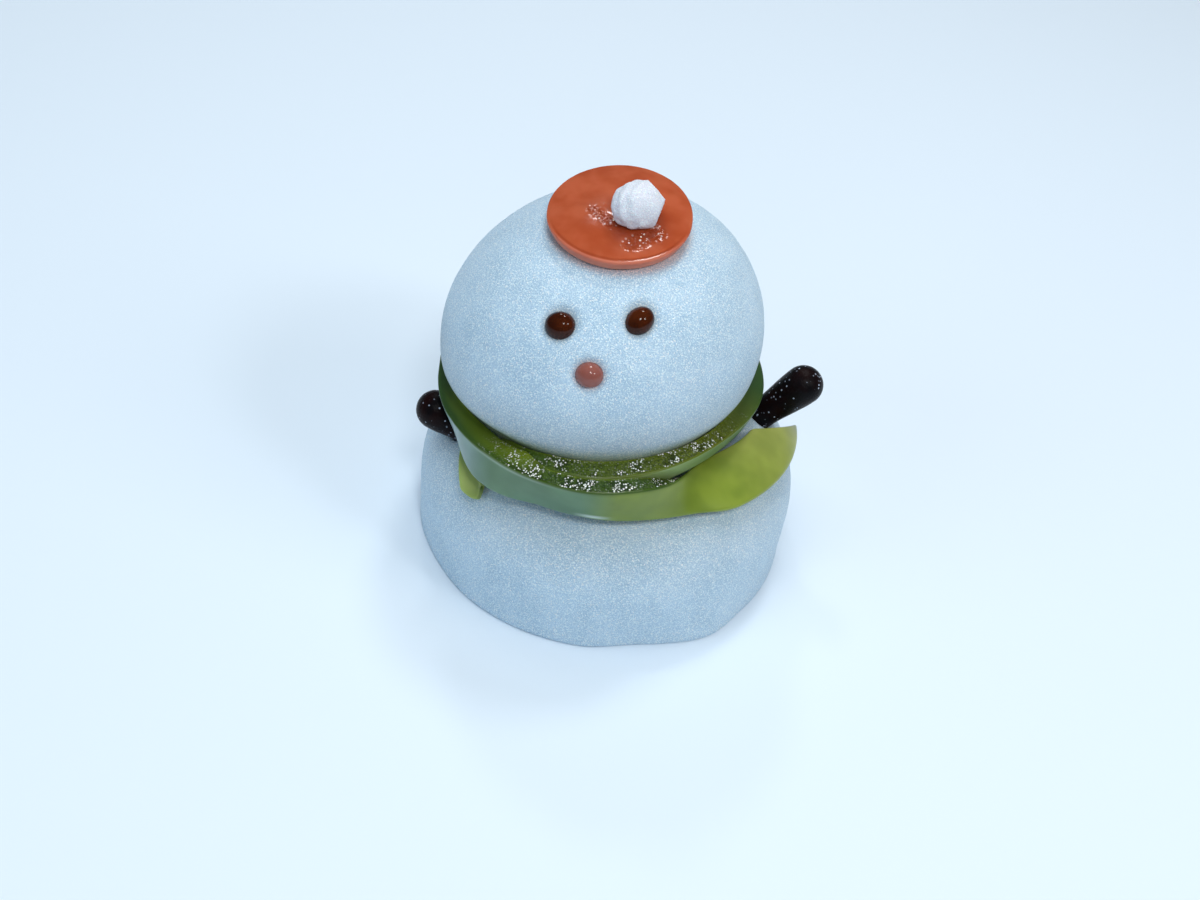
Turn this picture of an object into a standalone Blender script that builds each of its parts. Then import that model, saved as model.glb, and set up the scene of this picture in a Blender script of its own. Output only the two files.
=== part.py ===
"""Snowman wagashi: a hand-shaped white bean-paste sweet with a jelly scarf, hat, face and arms.

The figure faces -Y and stands on z = 0. Its origin is the centre of the flat foot of the body.
Every length is in metres, written as millimetres times MM.
"""

import math

import bmesh
import bpy
from mathutils import Matrix, Vector

MM = 0.001
GAP = 0.3 * MM

# Body: a squat pressed bun with an upright wall and a wide round shoulder
BODY_WALL_RADIUS = 22.35 * MM
BODY_FOOT_RADIUS = 21.9 * MM
BODY_FOOT_ROUNDING = 0.7 * MM
BODY_SHOULDER_START = 6.7 * MM
BODY_HEIGHT = 17.3 * MM
BODY_SHOULDER_WIDTH = 9.9 * MM
BODY_WALL_SHARES = (0.45, 0.75, 1.0)
BODY_SHOULDER_STEP = 10
BODY_STEPS = 56

# Thumb marks: azimuth and half width in degrees, how far the wall moves out, and how high they reach
THUMB_MARKS = (
    (-58.0, 20.0, -0.20 * MM, 9.0 * MM),
    (13.0, 15.0, -0.55 * MM, 9.0 * MM),
    (37.0, 15.0, 0.65 * MM, 9.0 * MM),
    (84.0, 42.0, -0.60 * MM, 16.0 * MM),
    (150.0, 40.0, 0.30 * MM, 9.0 * MM),
    (-130.0, 35.0, -0.25 * MM, 9.0 * MM),
)

# Head: a ball pressed a little flat and rolled slightly lopsided
HEAD_CENTRE = Vector((-2.59, 0.95, 26.87)) * MM
HEAD_RADIUS = 17.46 * MM
HEAD_SIDE_SWELL = 0.030
HEAD_DEPTH_SWELL = 0.038
HEAD_HEIGHT_PRESS = 0.068
HEAD_LEAN = 0.062
HEAD_TWIST = 0.060
# Where the scarf presses into it below: azimuth and half width in degrees, then how deep
HEAD_PINCHES = (
    (-85.0, 40.0, 1.10 * MM),
    (-38.0, 42.0, 1.30 * MM),
    (57.0, 38.0, 0.55 * MM),
)
HEAD_PINCH_FADE = (-17.0, -7.0)
HEAD_SEAT_HEIGHT = BODY_HEIGHT + GAP
HEAD_SEGMENTS = 56
HEAD_RINGS = 30
CROWN_TRIES = 8

# Face: jelly drops in dimples, given by azimuth and elevation on the head, size and turn
FACE_DROPS = (
    ("eye_left", -18.3, 36.8, 1.45 * MM, 1.60 * MM, 15.0),
    ("eye_right", 17.6, 42.0, 1.35 * MM, 1.65 * MM, 35.0),
    ("nose", -2.4, 22.7, 1.35 * MM, 1.45 * MM, 0.0),
)
DROP_DEPTH = 1.25 * MM
DROP_SINK = 0.55 * MM
DROP_SEGMENTS = 20
DROP_RINGS = 12

# Hat: a thin jelly disc draped on the crown, with a torn crumb of paste on it
HAT_AZIMUTH = 20.0
HAT_ELEVATION = 86.0
HAT_RADIUS = 7.9 * MM
HAT_THICKNESS = 1.25 * MM
HAT_BACK_LIFT = 0.9 * MM
HAT_TUCK = 0.045
HAT_RIM = 0.35 * MM
HAT_RIM_SEGMENTS = 2
HAT_RINGS = 6
HAT_SPOKES = 36

# The crumb on the hat: an egg, uneven all round, torn off flat along two planes at its right end
POMPON_FOOT = (-0.2 * MM, -2.35 * MM)
POMPON_RADII = (3.10 * MM, 2.50 * MM, 2.60 * MM)
POMPON_TURN = 20.0
POMPON_SIT = 0.62
POMPON_UNEVEN = 0.04
POMPON_WAVES = Vector((9.0, 8.0, 5.0))
POMPON_WAVE_START = 2.0
POMPON_TEARS = (
    (Vector((0.67, 0.49, 0.55)), 2.20 * MM),
    (Vector((0.97, -0.17, -0.19)), 2.20 * MM),
)
POMPON_RAGGED = 0.07 * MM
POMPON_RAGGED_LENGTHS = (0.20 * MM, 0.25 * MM)
POMPON_SUBDIVISIONS = 4

# Scarf: one strip of jelly, from the left end round the neck once and a quarter to the right end
SCARF_START_WIDTH = 3.5 * MM
SCARF_THICKNESS = 2.0 * MM
SCARF_START_THICKNESS = 0.7 * MM
SCARF_EDGE = 0.35 * MM
SCARF_START = -62.5
SCARF_START_SLANT = 14.0
SCARF_START_REACH = 26.0
SCARF_END = 438.5
SCARF_END_SLANT = 22.0
SCARF_END_REACH = 35.0
SCARF_STEP = 7.0
SCARF_LAYER_GAP = 0.35 * MM
SCARF_LAYER = (305.0, 326.0)
SCARF_SHOULDER_CURL = 1.0 / (10.5 * MM)
SCARF_SHOULDER_LIFT = 0.2 * MM
SCARF_DIP = 0.6 * MM
SCARF_DIP_TURN = 390.0
SCARF_DIP_REACH = 16.0

# The turns between which its edges rise off the shoulder, come down, and it gets its full thickness
SCARF_RISE = (-52.0, -33.0)
SCARF_FOOT_RISE = (-42.0, -27.0)
SCARF_FALL = (376.0, 408.0)
SCARF_FILL = (-40.0, 6.0)

# The radius of its upper edge where it lies: at the start, then from turn, to turn, change
SCARF_LEFT_LIE = (17.6 * MM, -60.0, -42.0, -2.6 * MM)
SCARF_RIGHT_LIE = (13.3 * MM, 405.0, 448.0, 1.6 * MM)
SCARF_LIE_SHARE = 0.88

# How its width changes: from turn, to turn, change
SCARF_WIDENINGS = (
    (-60.0, -48.0, 1.4 * MM),
    (-38.0, -25.0, -1.0 * MM),
    (-10.0, 44.0, -1.5 * MM),
    (298.0, 346.0, 3.2 * MM),
    (375.0, 440.0, 1.4 * MM),
)

# How its top edge climbs round the head: elevation at the start, then from turn, to turn, change
SCARF_START_ELEVATION = -20.8
SCARF_CLIMBS = (
    (-64.0, -14.0, 9.6),
    (25.0, 80.0, -4.3),
    (190.0, 262.0, -1.5),
    (300.0, 352.0, 5.8),
)

# Where its second pass leans in over the first: turn, half width and lean in degrees
SCARF_LEANS = (
    (323.0, 25.0, 24.0),
    (392.0, 36.0, 13.0),
)

# Where it is thicker or thinner than usual: turn, half width in degrees, then by how much
SCARF_SWELLS = (
    (-64.0, 16.0, 0.80 * MM),
    (45.0, 40.0, -0.50 * MM),
    (280.0, 32.0, -0.50 * MM),
    (352.0, 48.0, -0.50 * MM),
    (405.0, 40.0, -0.50 * MM),
)

# The shares of its width at which its section has corners
SCARF_SHARES = (0.0, 0.12, 0.5, 0.88, 1.0)

# Arms: stubby clubs of dark paste pushed into the shoulder
ARM_BASE_RADIUS = 1.8 * MM
ARM_BUTT_SHARE = 0.6
ARM_DEPTH = 1.2 * MM
ARM_SHARES = (0.06, 0.35, 0.6, 0.8)
ARM_END_STEP = 15
ARM_STEPS = 20
ARMS = (
    ("arm_left", Vector((-16.4, -4.8, 14.9)) * MM, Vector((-20.3, -4.8, 17.4)) * MM, 2.30 * MM),
    ("arm_right", Vector((17.2, 3.5, 15.8)) * MM, Vector((21.25, 3.5, 20.85)) * MM, 2.35 * MM),
)

# Faces that meet at more than this angle, in degrees, keep a sharp edge between them
SHARP_ANGLE = 50.0

# Colours of the pieces, linear red, green, blue, and roughness
FINISHES = {
    "paste": ((0.78, 0.80, 0.83), 0.62),
    "green_jelly": ((0.20, 0.30, 0.05), 0.25),
    "red_jelly": ((0.62, 0.10, 0.04), 0.22),
    "brown_jelly": ((0.045, 0.012, 0.004), 0.15),
    "pink_jelly": ((0.42, 0.14, 0.12), 0.20),
    "dark_paste": ((0.012, 0.008, 0.007), 0.35),
}


def clear_scene():
    for obj in list(bpy.data.objects):
        bpy.data.objects.remove(obj, do_unlink=True)


def make_collection(name, shown=True):
    collection = bpy.data.collections.new(name)
    bpy.context.scene.collection.children.link(collection)
    collection.hide_render = not shown
    return collection


def make_finish(name):
    colour, roughness = FINISHES[name]
    material = bpy.data.materials.new(name)
    material.use_nodes = True
    shader = material.node_tree.nodes["Principled BSDF"]
    shader.inputs["Base Color"].default_value = (*colour, 1.0)
    shader.inputs["Roughness"].default_value = roughness
    shader.inputs["Metallic"].default_value = 0.0
    return material


def add_object(name, bm, collection, finish=None):
    """Closes a bmesh into a named object whose faces point outwards."""
    bmesh.ops.recalc_face_normals(bm, faces=bm.faces)
    mesh = bpy.data.meshes.new(name)
    bm.to_mesh(mesh)
    bm.free()
    mesh.shade_smooth()
    mesh.set_sharp_from_angle(angle=math.radians(SHARP_ANGLE))
    obj = bpy.data.objects.new(name, mesh)
    collection.objects.link(obj)
    if finish:
        mesh.materials.append(finish)
    else:
        obj.display_type = "WIRE"
        obj.hide_render = True
    return obj


def cut(obj, cutter):
    """Takes the cutter's space out of an object and applies the result."""
    modifier = obj.modifiers.new("cut_" + cutter.name, "BOOLEAN")
    modifier.operation = "DIFFERENCE"
    modifier.solver = "EXACT"
    modifier.object = cutter
    shape = bpy.data.meshes.new_from_object(obj.evaluated_get(bpy.context.evaluated_depsgraph_get()))
    obj.modifiers.clear()
    old = obj.data
    obj.data = shape
    bpy.data.meshes.remove(old)


def smoothstep(start, end, value):
    t = min(max((value - start) / (end - start), 0.0), 1.0)
    return t * t * (3.0 - 2.0 * t)


def bump(azimuth, centre, half_width):
    """One at the centre, falling smoothly to zero at the half width, round the circle."""
    away = abs((azimuth - centre + 180.0) % 360.0 - 180.0)
    return 1.0 - smoothstep(0.0, half_width, away)


def outward(azimuth):
    """The level direction at an azimuth in degrees: 0 is the front, 90 the figure's right in view."""
    angle = math.radians(azimuth)
    return Vector((math.sin(angle), -math.cos(angle), 0.0))


def body_radius(height, azimuth):
    """The body's outer radius at a height, with its thumb marks."""
    if height < BODY_FOOT_ROUNDING:
        rise = 1.0 - height / BODY_FOOT_ROUNDING
        inset = BODY_WALL_RADIUS - BODY_FOOT_RADIUS
        radius = BODY_WALL_RADIUS - inset * (1.0 - math.sqrt(max(1.0 - rise * rise, 0.0)))
    elif height <= BODY_SHOULDER_START:
        radius = BODY_WALL_RADIUS
    else:
        rise = (height - BODY_SHOULDER_START) / (BODY_HEIGHT - BODY_SHOULDER_START)
        round_off = math.sqrt(max(1.0 - rise * rise, 0.0))
        radius = BODY_WALL_RADIUS - BODY_SHOULDER_WIDTH * (1.0 - round_off)
    for at, half, depth, top in THUMB_MARKS:
        radius += depth * bump(azimuth, at, half) * (1.0 - smoothstep(0.0, top, height))
    return radius


def shoulder_height(radius):
    """The height of the body's shoulder at a radius from its axis."""
    inward = BODY_WALL_RADIUS - radius
    across = min(max(1.0 - inward / BODY_SHOULDER_WIDTH, 0.0), 1.0)
    rise = math.sqrt(1.0 - across * across)
    return BODY_SHOULDER_START + (BODY_HEIGHT - BODY_SHOULDER_START) * rise


def head_radius(direction):
    """The head's radius from its centre along a unit direction."""
    x, y, z = direction
    swell = HEAD_SIDE_SWELL * x * x + HEAD_DEPTH_SWELL * y * y - HEAD_HEIGHT_PRESS * z * z
    below = 1.0 - smoothstep(*HEAD_PINCH_FADE, math.degrees(math.asin(min(max(z, -1.0), 1.0))))
    azimuth = math.degrees(math.atan2(x, -y))
    pinch = below * sum(depth * bump(azimuth, at, half) for at, half, depth in HEAD_PINCHES)
    return HEAD_RADIUS * (1.0 + swell + HEAD_LEAN * x * z + HEAD_TWIST * x * y) - pinch


def head_direction(azimuth, elevation):
    rise = math.radians(elevation)
    return outward(azimuth) * math.cos(rise) + Vector((0.0, 0.0, math.sin(rise)))


def head_point(azimuth, elevation, lift=0.0):
    direction = head_direction(azimuth, elevation)
    return HEAD_CENTRE + direction * (head_radius(direction) + lift)


def build_body(collection, finish):
    """Turns the body's profile round its axis, then presses the thumb marks into its foot."""
    bm = bmesh.new()
    heights = [0.0, 0.5 * BODY_FOOT_ROUNDING, BODY_FOOT_ROUNDING]
    heights += [BODY_SHOULDER_START * share for share in BODY_WALL_SHARES]
    angles = range(BODY_SHOULDER_STEP, 90, BODY_SHOULDER_STEP)
    rises = [math.sin(math.radians(angle)) for angle in angles]
    heights += [BODY_SHOULDER_START + (BODY_HEIGHT - BODY_SHOULDER_START) * rise for rise in rises]
    plateau = BODY_WALL_RADIUS - BODY_SHOULDER_WIDTH
    profile = [bm.verts.new((0.0, 0.0, 0.0))]
    profile += [bm.verts.new((1.0, 0.0, height)) for height in heights]
    profile.append(bm.verts.new((plateau, 0.0, BODY_HEIGHT)))
    profile.append(bm.verts.new((0.0, 0.0, BODY_HEIGHT)))
    edges = [bm.edges.new(pair) for pair in zip(profile, profile[1:])]
    bmesh.ops.spin(
        bm, geom=profile + edges, cent=(0.0, 0.0, 0.0), axis=(0.0, 0.0, 1.0),
        angle=math.tau, steps=BODY_STEPS, use_merge=True,
    )
    bmesh.ops.remove_doubles(bm, verts=bm.verts, dist=0.001 * MM)
    for vert in bm.verts:
        if abs(math.hypot(vert.co.x, vert.co.y) - 1.0) < 0.01:
            azimuth = math.degrees(math.atan2(vert.co.x, -vert.co.y))
            radius = body_radius(vert.co.z, azimuth)
            vert.co.x *= radius
            vert.co.y *= radius
    return add_object("body", bm, collection, finish)


def build_head(collection, finish):
    """A ball of the head's own form, cut level where it sits on the body."""
    bm = bmesh.new()
    bmesh.ops.create_uvsphere(bm, u_segments=HEAD_SEGMENTS, v_segments=HEAD_RINGS, radius=1.0)
    for vert in bm.verts:
        direction = vert.co.normalized()
        vert.co = HEAD_CENTRE + direction * head_radius(direction)
    seat = Vector((HEAD_CENTRE.x, HEAD_CENTRE.y, HEAD_SEAT_HEIGHT))
    everything = bm.verts[:] + bm.edges[:] + bm.faces[:]
    sliced = bmesh.ops.bisect_plane(
        bm, geom=everything, dist=0.001 * MM, plane_co=seat, plane_no=(0.0, 0.0, -1.0), clear_outer=True,
    )
    rim = [item for item in sliced["geom_cut"] if isinstance(item, bmesh.types.BMEdge)]
    bmesh.ops.edgeloop_fill(bm, edges=rim)
    return add_object("head", bm, collection, finish)


def drop_shape(azimuth, elevation, narrow, wide, turn, grow):
    """A flattened drop set in the head's surface, or its dimple when it is grown."""
    bm = bmesh.new()
    bmesh.ops.create_uvsphere(bm, u_segments=DROP_SEGMENTS, v_segments=DROP_RINGS, radius=1.0)
    size = Matrix.Diagonal((wide + grow, narrow + grow, DROP_DEPTH + grow, 1.0))
    facing = head_direction(azimuth, elevation).to_track_quat("Z", "Y").to_matrix().to_4x4()
    spot = Matrix.Translation(head_point(azimuth, elevation, -DROP_SINK))
    bm.transform(spot @ facing @ Matrix.Rotation(math.radians(turn), 4, "Z") @ size)
    return bm


def build_face(collection, cutters, head, finishes):
    for name, azimuth, elevation, narrow, wide, turn in FACE_DROPS:
        finish = finishes["pink_jelly"] if name == "nose" else finishes["brown_jelly"]
        add_object(name, drop_shape(azimuth, elevation, narrow, wide, turn, 0.0), collection, finish)
        dimple = drop_shape(azimuth, elevation, narrow, wide, turn, GAP)
        cut(head, add_object(name + "_dimple", dimple, cutters))


def hat_point(around, distance, lift):
    """A point of the hat, by its angle round the hat's middle and its distance along the head."""
    middle = head_direction(HAT_AZIMUTH, HAT_ELEVATION)
    side = middle.cross(Vector((0.0, -1.0, 0.0))).normalized()
    ahead = side.cross(middle)
    spread = side * math.cos(around) + ahead * math.sin(around)
    bend = distance * (1.0 - HAT_TUCK * max(spread.x, 0.0)) / HEAD_RADIUS
    direction = middle * math.cos(bend) + spread * math.sin(bend)
    stiff = HAT_BACK_LIFT * max(spread.y, 0.0) * (distance / HAT_RADIUS) ** 2
    return HEAD_CENTRE + direction * (head_radius(direction) + lift + stiff)


def build_hat(collection, finish):
    """An open disc laid on the crown, thickened outwards, with its rim rounded."""
    bm = bmesh.new()
    centre = bm.verts.new(hat_point(0.0, 0.0, GAP))
    rings = []
    for ring in range(1, HAT_RINGS + 1):
        distance = HAT_RADIUS * ring / HAT_RINGS
        angles = [math.tau * spoke / HAT_SPOKES for spoke in range(HAT_SPOKES)]
        rings.append([bm.verts.new(hat_point(angle, distance, GAP)) for angle in angles])
    for spoke in range(HAT_SPOKES):
        following = (spoke + 1) % HAT_SPOKES
        bm.faces.new((centre, rings[0][spoke], rings[0][following]))
        for inner, outer in zip(rings, rings[1:]):
            bm.faces.new((inner[spoke], outer[spoke], outer[following], inner[following]))
    obj = add_object("hat", bm, collection, finish)
    if obj.data.polygons[0].normal.z < 0.0:
        obj.data.flip_normals()
    shell = obj.modifiers.new("thickness", "SOLIDIFY")
    shell.thickness = HAT_THICKNESS
    shell.offset = 1.0
    rim = obj.modifiers.new("rim", "BEVEL")
    rim.width = HAT_RIM
    rim.segments = HAT_RIM_SEGMENTS
    rim.limit_method = "ANGLE"
    rim.angle_limit = math.radians(SHARP_ANGLE)
    return obj


def build_pompon(collection, finish):
    """A torn crumb of paste: an uneven egg with a flat torn end, its underside following the hat."""
    bm = bmesh.new()
    bmesh.ops.create_icosphere(bm, subdivisions=POMPON_SUBDIVISIONS, radius=1.0)
    for vert in bm.verts:
        direction = vert.co.normalized()
        across = math.sin(POMPON_WAVES.x * direction.x + POMPON_WAVE_START)
        along = math.sin(POMPON_WAVES.y * direction.y - POMPON_WAVES.z * direction.z)
        vert.co = direction * (1.0 + POMPON_UNEVEN * across * along)
    middle = Vector((*POMPON_FOOT, hat_top(*POMPON_FOOT) + GAP + POMPON_SIT * POMPON_RADII[2]))
    turn = Matrix.Rotation(math.radians(POMPON_TURN), 4, "Z")
    bm.transform(Matrix.Translation(middle) @ turn @ Matrix.Diagonal((*POMPON_RADII, 1.0)))
    for vert in bm.verts:
        for normal, reach in POMPON_TEARS:
            over = (vert.co - middle).dot(normal) - reach
            if over > 0.0:
                wide, high = POMPON_RAGGED_LENGTHS
                crumbs = math.sin(vert.co.y / wide) * math.sin(vert.co.z / high)
                vert.co -= normal * (over + POMPON_RAGGED * crumbs)
        vert.co.z = max(vert.co.z, hat_top(vert.co.x, vert.co.y) + GAP)
    return add_object("hat_pompon", bm, collection, finish)


def hat_top(x, y):
    """The height of the hat's upper side above a point of the floor."""
    return crown_height(x, y) + GAP + HAT_THICKNESS


def crown_height(x, y):
    """The height of the top of the head above a point of the floor."""
    level = Vector((x - HEAD_CENTRE.x, y - HEAD_CENTRE.y, 0.0))
    height = HEAD_RADIUS
    for _ in range(CROWN_TRIES):
        direction = Vector((level.x, level.y, height)).normalized()
        reach = head_radius(direction)
        height = math.sqrt(max(reach * reach - level.length_squared, 0.0))
    return HEAD_CENTRE.z + height


def scarf_on_head(turn):
    """Where the strip hugs the head: the middle of its top edge, its lean there and its curl."""
    elevation = SCARF_START_ELEVATION
    elevation += sum(change * smoothstep(start, end, turn) for start, end, change in SCARF_CLIMBS)
    lift = GAP + 0.5 * scarf_thickness(turn)
    if turn > SCARF_LAYER[0]:
        layer = scarf_thickness(turn - 360.0) + SCARF_LAYER_GAP
        lift += layer * smoothstep(*SCARF_LAYER, turn)
    lean = 90.0 + elevation + sum(more * swell(turn, at, half) for at, half, more in SCARF_LEANS)
    return head_point(turn, elevation, lift), lean, 1.0 / (HEAD_RADIUS + lift)


def scarf_on_shoulder(turn):
    """Where an end of the strip lies on the shoulder: the same three values as on the head."""
    upper, start, end, change = SCARF_RIGHT_LIE if turn > 180.0 else SCARF_LEFT_LIE
    upper += change * smoothstep(start, end, turn)
    lower = upper + SCARF_LIE_SHARE * scarf_width(turn)
    slope = math.atan2(shoulder_height(upper) - shoulder_height(lower), upper - lower)
    lift = GAP + 0.5 * scarf_thickness(turn) + SCARF_SHOULDER_LIFT
    rise = Vector((0.0, 0.0, shoulder_height(upper) - lift * math.cos(slope)))
    top = outward(turn) * (upper + lift * math.sin(slope)) + rise
    return top, math.degrees(slope + 0.5 * SCARF_SHOULDER_CURL * scarf_width(turn)), SCARF_SHOULDER_CURL


def swell(turn, centre, half_width):
    """One at a turn along the strip, falling smoothly to zero at the half width."""
    return 1.0 - smoothstep(0.0, half_width, abs(turn - centre))


def scarf_thickness(turn):
    """The strip's thickness: its start is pressed thin under the rest."""
    full = smoothstep(*SCARF_FILL, turn)
    thickness = SCARF_START_THICKNESS + (SCARF_THICKNESS - SCARF_START_THICKNESS) * full
    return thickness + sum(more * swell(turn, at, half) for at, half, more in SCARF_SWELLS)


def scarf_width(turn):
    """The strip's width: full at the front and the ends, squeezed between head and body elsewhere."""
    changes = (change * smoothstep(start, end, turn) for start, end, change in SCARF_WIDENINGS)
    return SCARF_START_WIDTH + sum(changes)


def down_the_strip(turn, lean, curl, along):
    """The way from the strip's top edge to a point of its middle, across its curled section."""
    chord = math.radians(lean) - 0.5 * curl * along
    return (outward(turn) * math.cos(chord) + Vector((0.0, 0.0, math.sin(chord)))) * -along


def scarf_section(turn):
    """The middle of the strip's top edge, its lean there, its curl and its width at an angle along it."""
    head_top, head_lean, head_curl = scarf_on_head(turn)
    rest_top, rest_lean, rest_curl = scarf_on_shoulder(turn)
    head_foot = head_top + down_the_strip(turn, head_lean, head_curl, scarf_width(turn))
    rest_foot = rest_top + down_the_strip(turn, rest_lean, rest_curl, scarf_width(turn))
    fallen = smoothstep(*SCARF_FALL, turn)
    lying = 1.0 - smoothstep(*SCARF_RISE, turn) + fallen
    foot_lying = 1.0 - smoothstep(*SCARF_FOOT_RISE, turn) + fallen
    top = head_top.lerp(rest_top, lying)
    top.z -= SCARF_DIP * swell(turn, SCARF_DIP_TURN, SCARF_DIP_REACH)
    across = top - head_foot.lerp(rest_foot, foot_lying)
    curl = head_curl + (rest_curl - head_curl) * lying
    chord = math.atan2(across.z, across.dot(outward(turn)))
    return top, math.degrees(chord + 0.5 * curl * across.length), curl, across.length


def scarf_loop(turn, shrink=0.0):
    """The points round the strip's section: up its inner face and down its outer face."""
    top, lean, curl, width = scarf_section(turn)
    slant = SCARF_START_SLANT * (1.0 - smoothstep(SCARF_START, SCARF_START + SCARF_START_REACH, turn))
    slant += SCARF_END_SLANT * smoothstep(SCARF_END - SCARF_END_REACH, SCARF_END, turn)
    level = (top - Vector((0.0, 0.0, top.z))).length
    half = 0.5 * scarf_thickness(turn) - shrink
    inner = []
    outer = []
    for share in SCARF_SHARES:
        along = shrink + share * (width - 2.0 * shrink)
        face = math.radians(lean) - curl * along
        out = outward(turn + slant * share)
        spot = top + (out - outward(turn)) * level
        spot += down_the_strip(turn + slant * share, lean, curl, along)
        normal = out * math.sin(face) - Vector((0.0, 0.0, math.cos(face)))
        reach = half - SCARF_EDGE if share in (0.0, 1.0) else half
        inner.append(spot - normal * reach)
        outer.append(spot + normal * reach)
    return inner[::-1] + outer


def build_scarf(collection, finish):
    """Lofts the strip's section along its turn and closes both cut ends."""
    bm = bmesh.new()
    steps = round((SCARF_END - SCARF_START) / SCARF_STEP)
    turns = [SCARF_START + (SCARF_END - SCARF_START) * step / steps for step in range(steps + 1)]
    loops = [scarf_loop(turns[0] - 1.0, SCARF_EDGE)]
    loops += [scarf_loop(turn) for turn in turns]
    loops.append(scarf_loop(turns[-1] + 1.0, SCARF_EDGE))
    rings = [[bm.verts.new(point) for point in loop] for loop in loops]
    count = len(rings[0])
    for near, far in zip(rings, rings[1:]):
        for spot in range(count):
            following = (spot + 1) % count
            bm.faces.new((near[spot], near[following], far[following], far[spot]))
    bm.faces.new(rings[0])
    bm.faces.new(rings[-1][::-1])
    return add_object("scarf", bm, collection, finish)


def arm_shape(base, end, end_radius, grow):
    """A club from inside the shoulder to a round end, or its socket when it is grown."""
    axis = end - base
    direction = axis.normalized()
    start = -ARM_DEPTH
    length = axis.length
    bm = bmesh.new()
    outline = [(0.0, start - grow), (ARM_BUTT_SHARE * ARM_BASE_RADIUS + grow, start - grow)]
    for share in ARM_SHARES:
        along = start + (length - start) * share
        radius = ARM_BASE_RADIUS + (end_radius - ARM_BASE_RADIUS) * smoothstep(0.0, 1.0, share)
        outline.append((radius + grow, along))
    for angle in range(0, 91, ARM_END_STEP):
        turn = math.radians(angle)
        reach = end_radius + grow
        outline.append((reach * math.cos(turn), length + reach * math.sin(turn)))
    points = [bm.verts.new((radius, 0.0, along)) for radius, along in outline]
    edges = [bm.edges.new(pair) for pair in zip(points, points[1:])]
    bmesh.ops.spin(
        bm, geom=points + edges, cent=(0.0, 0.0, 0.0), axis=(0.0, 0.0, 1.0),
        angle=math.tau, steps=ARM_STEPS, use_merge=True,
    )
    bmesh.ops.remove_doubles(bm, verts=bm.verts, dist=0.001 * MM)
    bm.transform(Matrix.Translation(base) @ direction.to_track_quat("Z", "Y").to_matrix().to_4x4())
    return bm


def build_arms(collection, cutters, body, scarf, finish):
    """The arms, their sockets in the body, and the notch where the left one passes under the scarf."""
    for name, base, end, end_radius in ARMS:
        add_object(name, arm_shape(base, end, end_radius, 0.0), collection, finish)
        socket = add_object(name + "_socket", arm_shape(base, end, end_radius, GAP), cutters)
        cut(body, socket)
        if name == "arm_left":
            cut(scarf, socket)


def main():
    clear_scene()
    model = make_collection("snowman_wagashi")
    cutters = make_collection("cutters", shown=False)
    finishes = {name: make_finish(name) for name in FINISHES}
    body = build_body(model, finishes["paste"])
    head = build_head(model, finishes["paste"])
    build_face(model, cutters, head, finishes)
    build_hat(model, finishes["red_jelly"])
    build_pompon(model, finishes["paste"])
    scarf = build_scarf(model, finishes["green_jelly"])
    build_arms(model, cutters, body, scarf, finishes["dark_paste"])


main()
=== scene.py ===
"""Looks of the snowman wagashi: white bean paste, jelly scarf, jelly hat, face and paste arms.

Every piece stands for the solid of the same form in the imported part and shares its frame.
Lengths are in metres, written as millimetres times MM. The figure faces -Y and stands on z = 0.
Azimuths and turns are in degrees round the Z axis, from -Y towards +X.
"""

import math

import bmesh
import bpy
from bpy.props import FloatProperty, FloatVectorProperty, PointerProperty
from mathutils import Matrix, Vector, noise


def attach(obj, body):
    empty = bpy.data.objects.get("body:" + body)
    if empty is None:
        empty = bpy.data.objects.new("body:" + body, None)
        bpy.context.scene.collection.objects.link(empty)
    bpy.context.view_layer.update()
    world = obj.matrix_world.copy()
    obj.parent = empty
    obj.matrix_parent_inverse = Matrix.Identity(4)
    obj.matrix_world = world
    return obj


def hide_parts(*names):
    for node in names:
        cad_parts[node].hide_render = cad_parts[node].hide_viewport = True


bl_info = {
    "name": "Snowman Wagashi",
    "version": (1, 0, 0),
    "blender": (4, 5, 0),
    "location": "View3D > Sidebar > Wagashi",
    "description": "Finishes a snowman sweet of bean paste with a jelly scarf, hat and face",
    "category": "Object",
}

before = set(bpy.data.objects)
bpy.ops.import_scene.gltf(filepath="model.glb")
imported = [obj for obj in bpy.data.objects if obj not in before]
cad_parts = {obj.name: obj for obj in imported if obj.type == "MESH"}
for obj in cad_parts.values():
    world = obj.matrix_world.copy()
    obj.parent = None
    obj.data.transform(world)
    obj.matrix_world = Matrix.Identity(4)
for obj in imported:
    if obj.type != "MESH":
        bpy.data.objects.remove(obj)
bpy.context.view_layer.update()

MM = 0.001
GAP = 0.3 * MM

# Body: a squat pressed bun with an upright wall and a wide round shoulder
BODY_WALL_RADIUS = 22.35 * MM
BODY_FOOT_RADIUS = 21.9 * MM
BODY_FOOT_ROUNDING = 0.7 * MM
BODY_SHOULDER_START = 6.7 * MM
BODY_HEIGHT = 17.3 * MM
BODY_SHOULDER_WIDTH = 9.9 * MM
BODY_SHOULDER_RISE = BODY_HEIGHT - BODY_SHOULDER_START

# Where its wall is pressed in or bulges: azimuth, half width, change and the height where it ends
THUMB_MARKS = (
    (-58.0, 20.0, -0.20 * MM, 9.0 * MM),
    (13.0, 15.0, -0.55 * MM, 9.0 * MM),
    (37.0, 15.0, 0.65 * MM, 9.0 * MM),
    (84.0, 42.0, -0.60 * MM, 16.0 * MM),
    (150.0, 40.0, 0.30 * MM, 9.0 * MM),
    (-130.0, 35.0, -0.25 * MM, 9.0 * MM),
)

# Head: a ball pressed a little flat and rolled slightly lopsided
HEAD_CENTRE = Vector((-2.59, 0.95, 26.87)) * MM
HEAD_RADIUS = 17.46 * MM
HEAD_SIDE_SWELL = 0.030
HEAD_DEPTH_SWELL = 0.038
HEAD_HEIGHT_PRESS = 0.068
HEAD_LEAN = 0.062
HEAD_TWIST = 0.060

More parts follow.
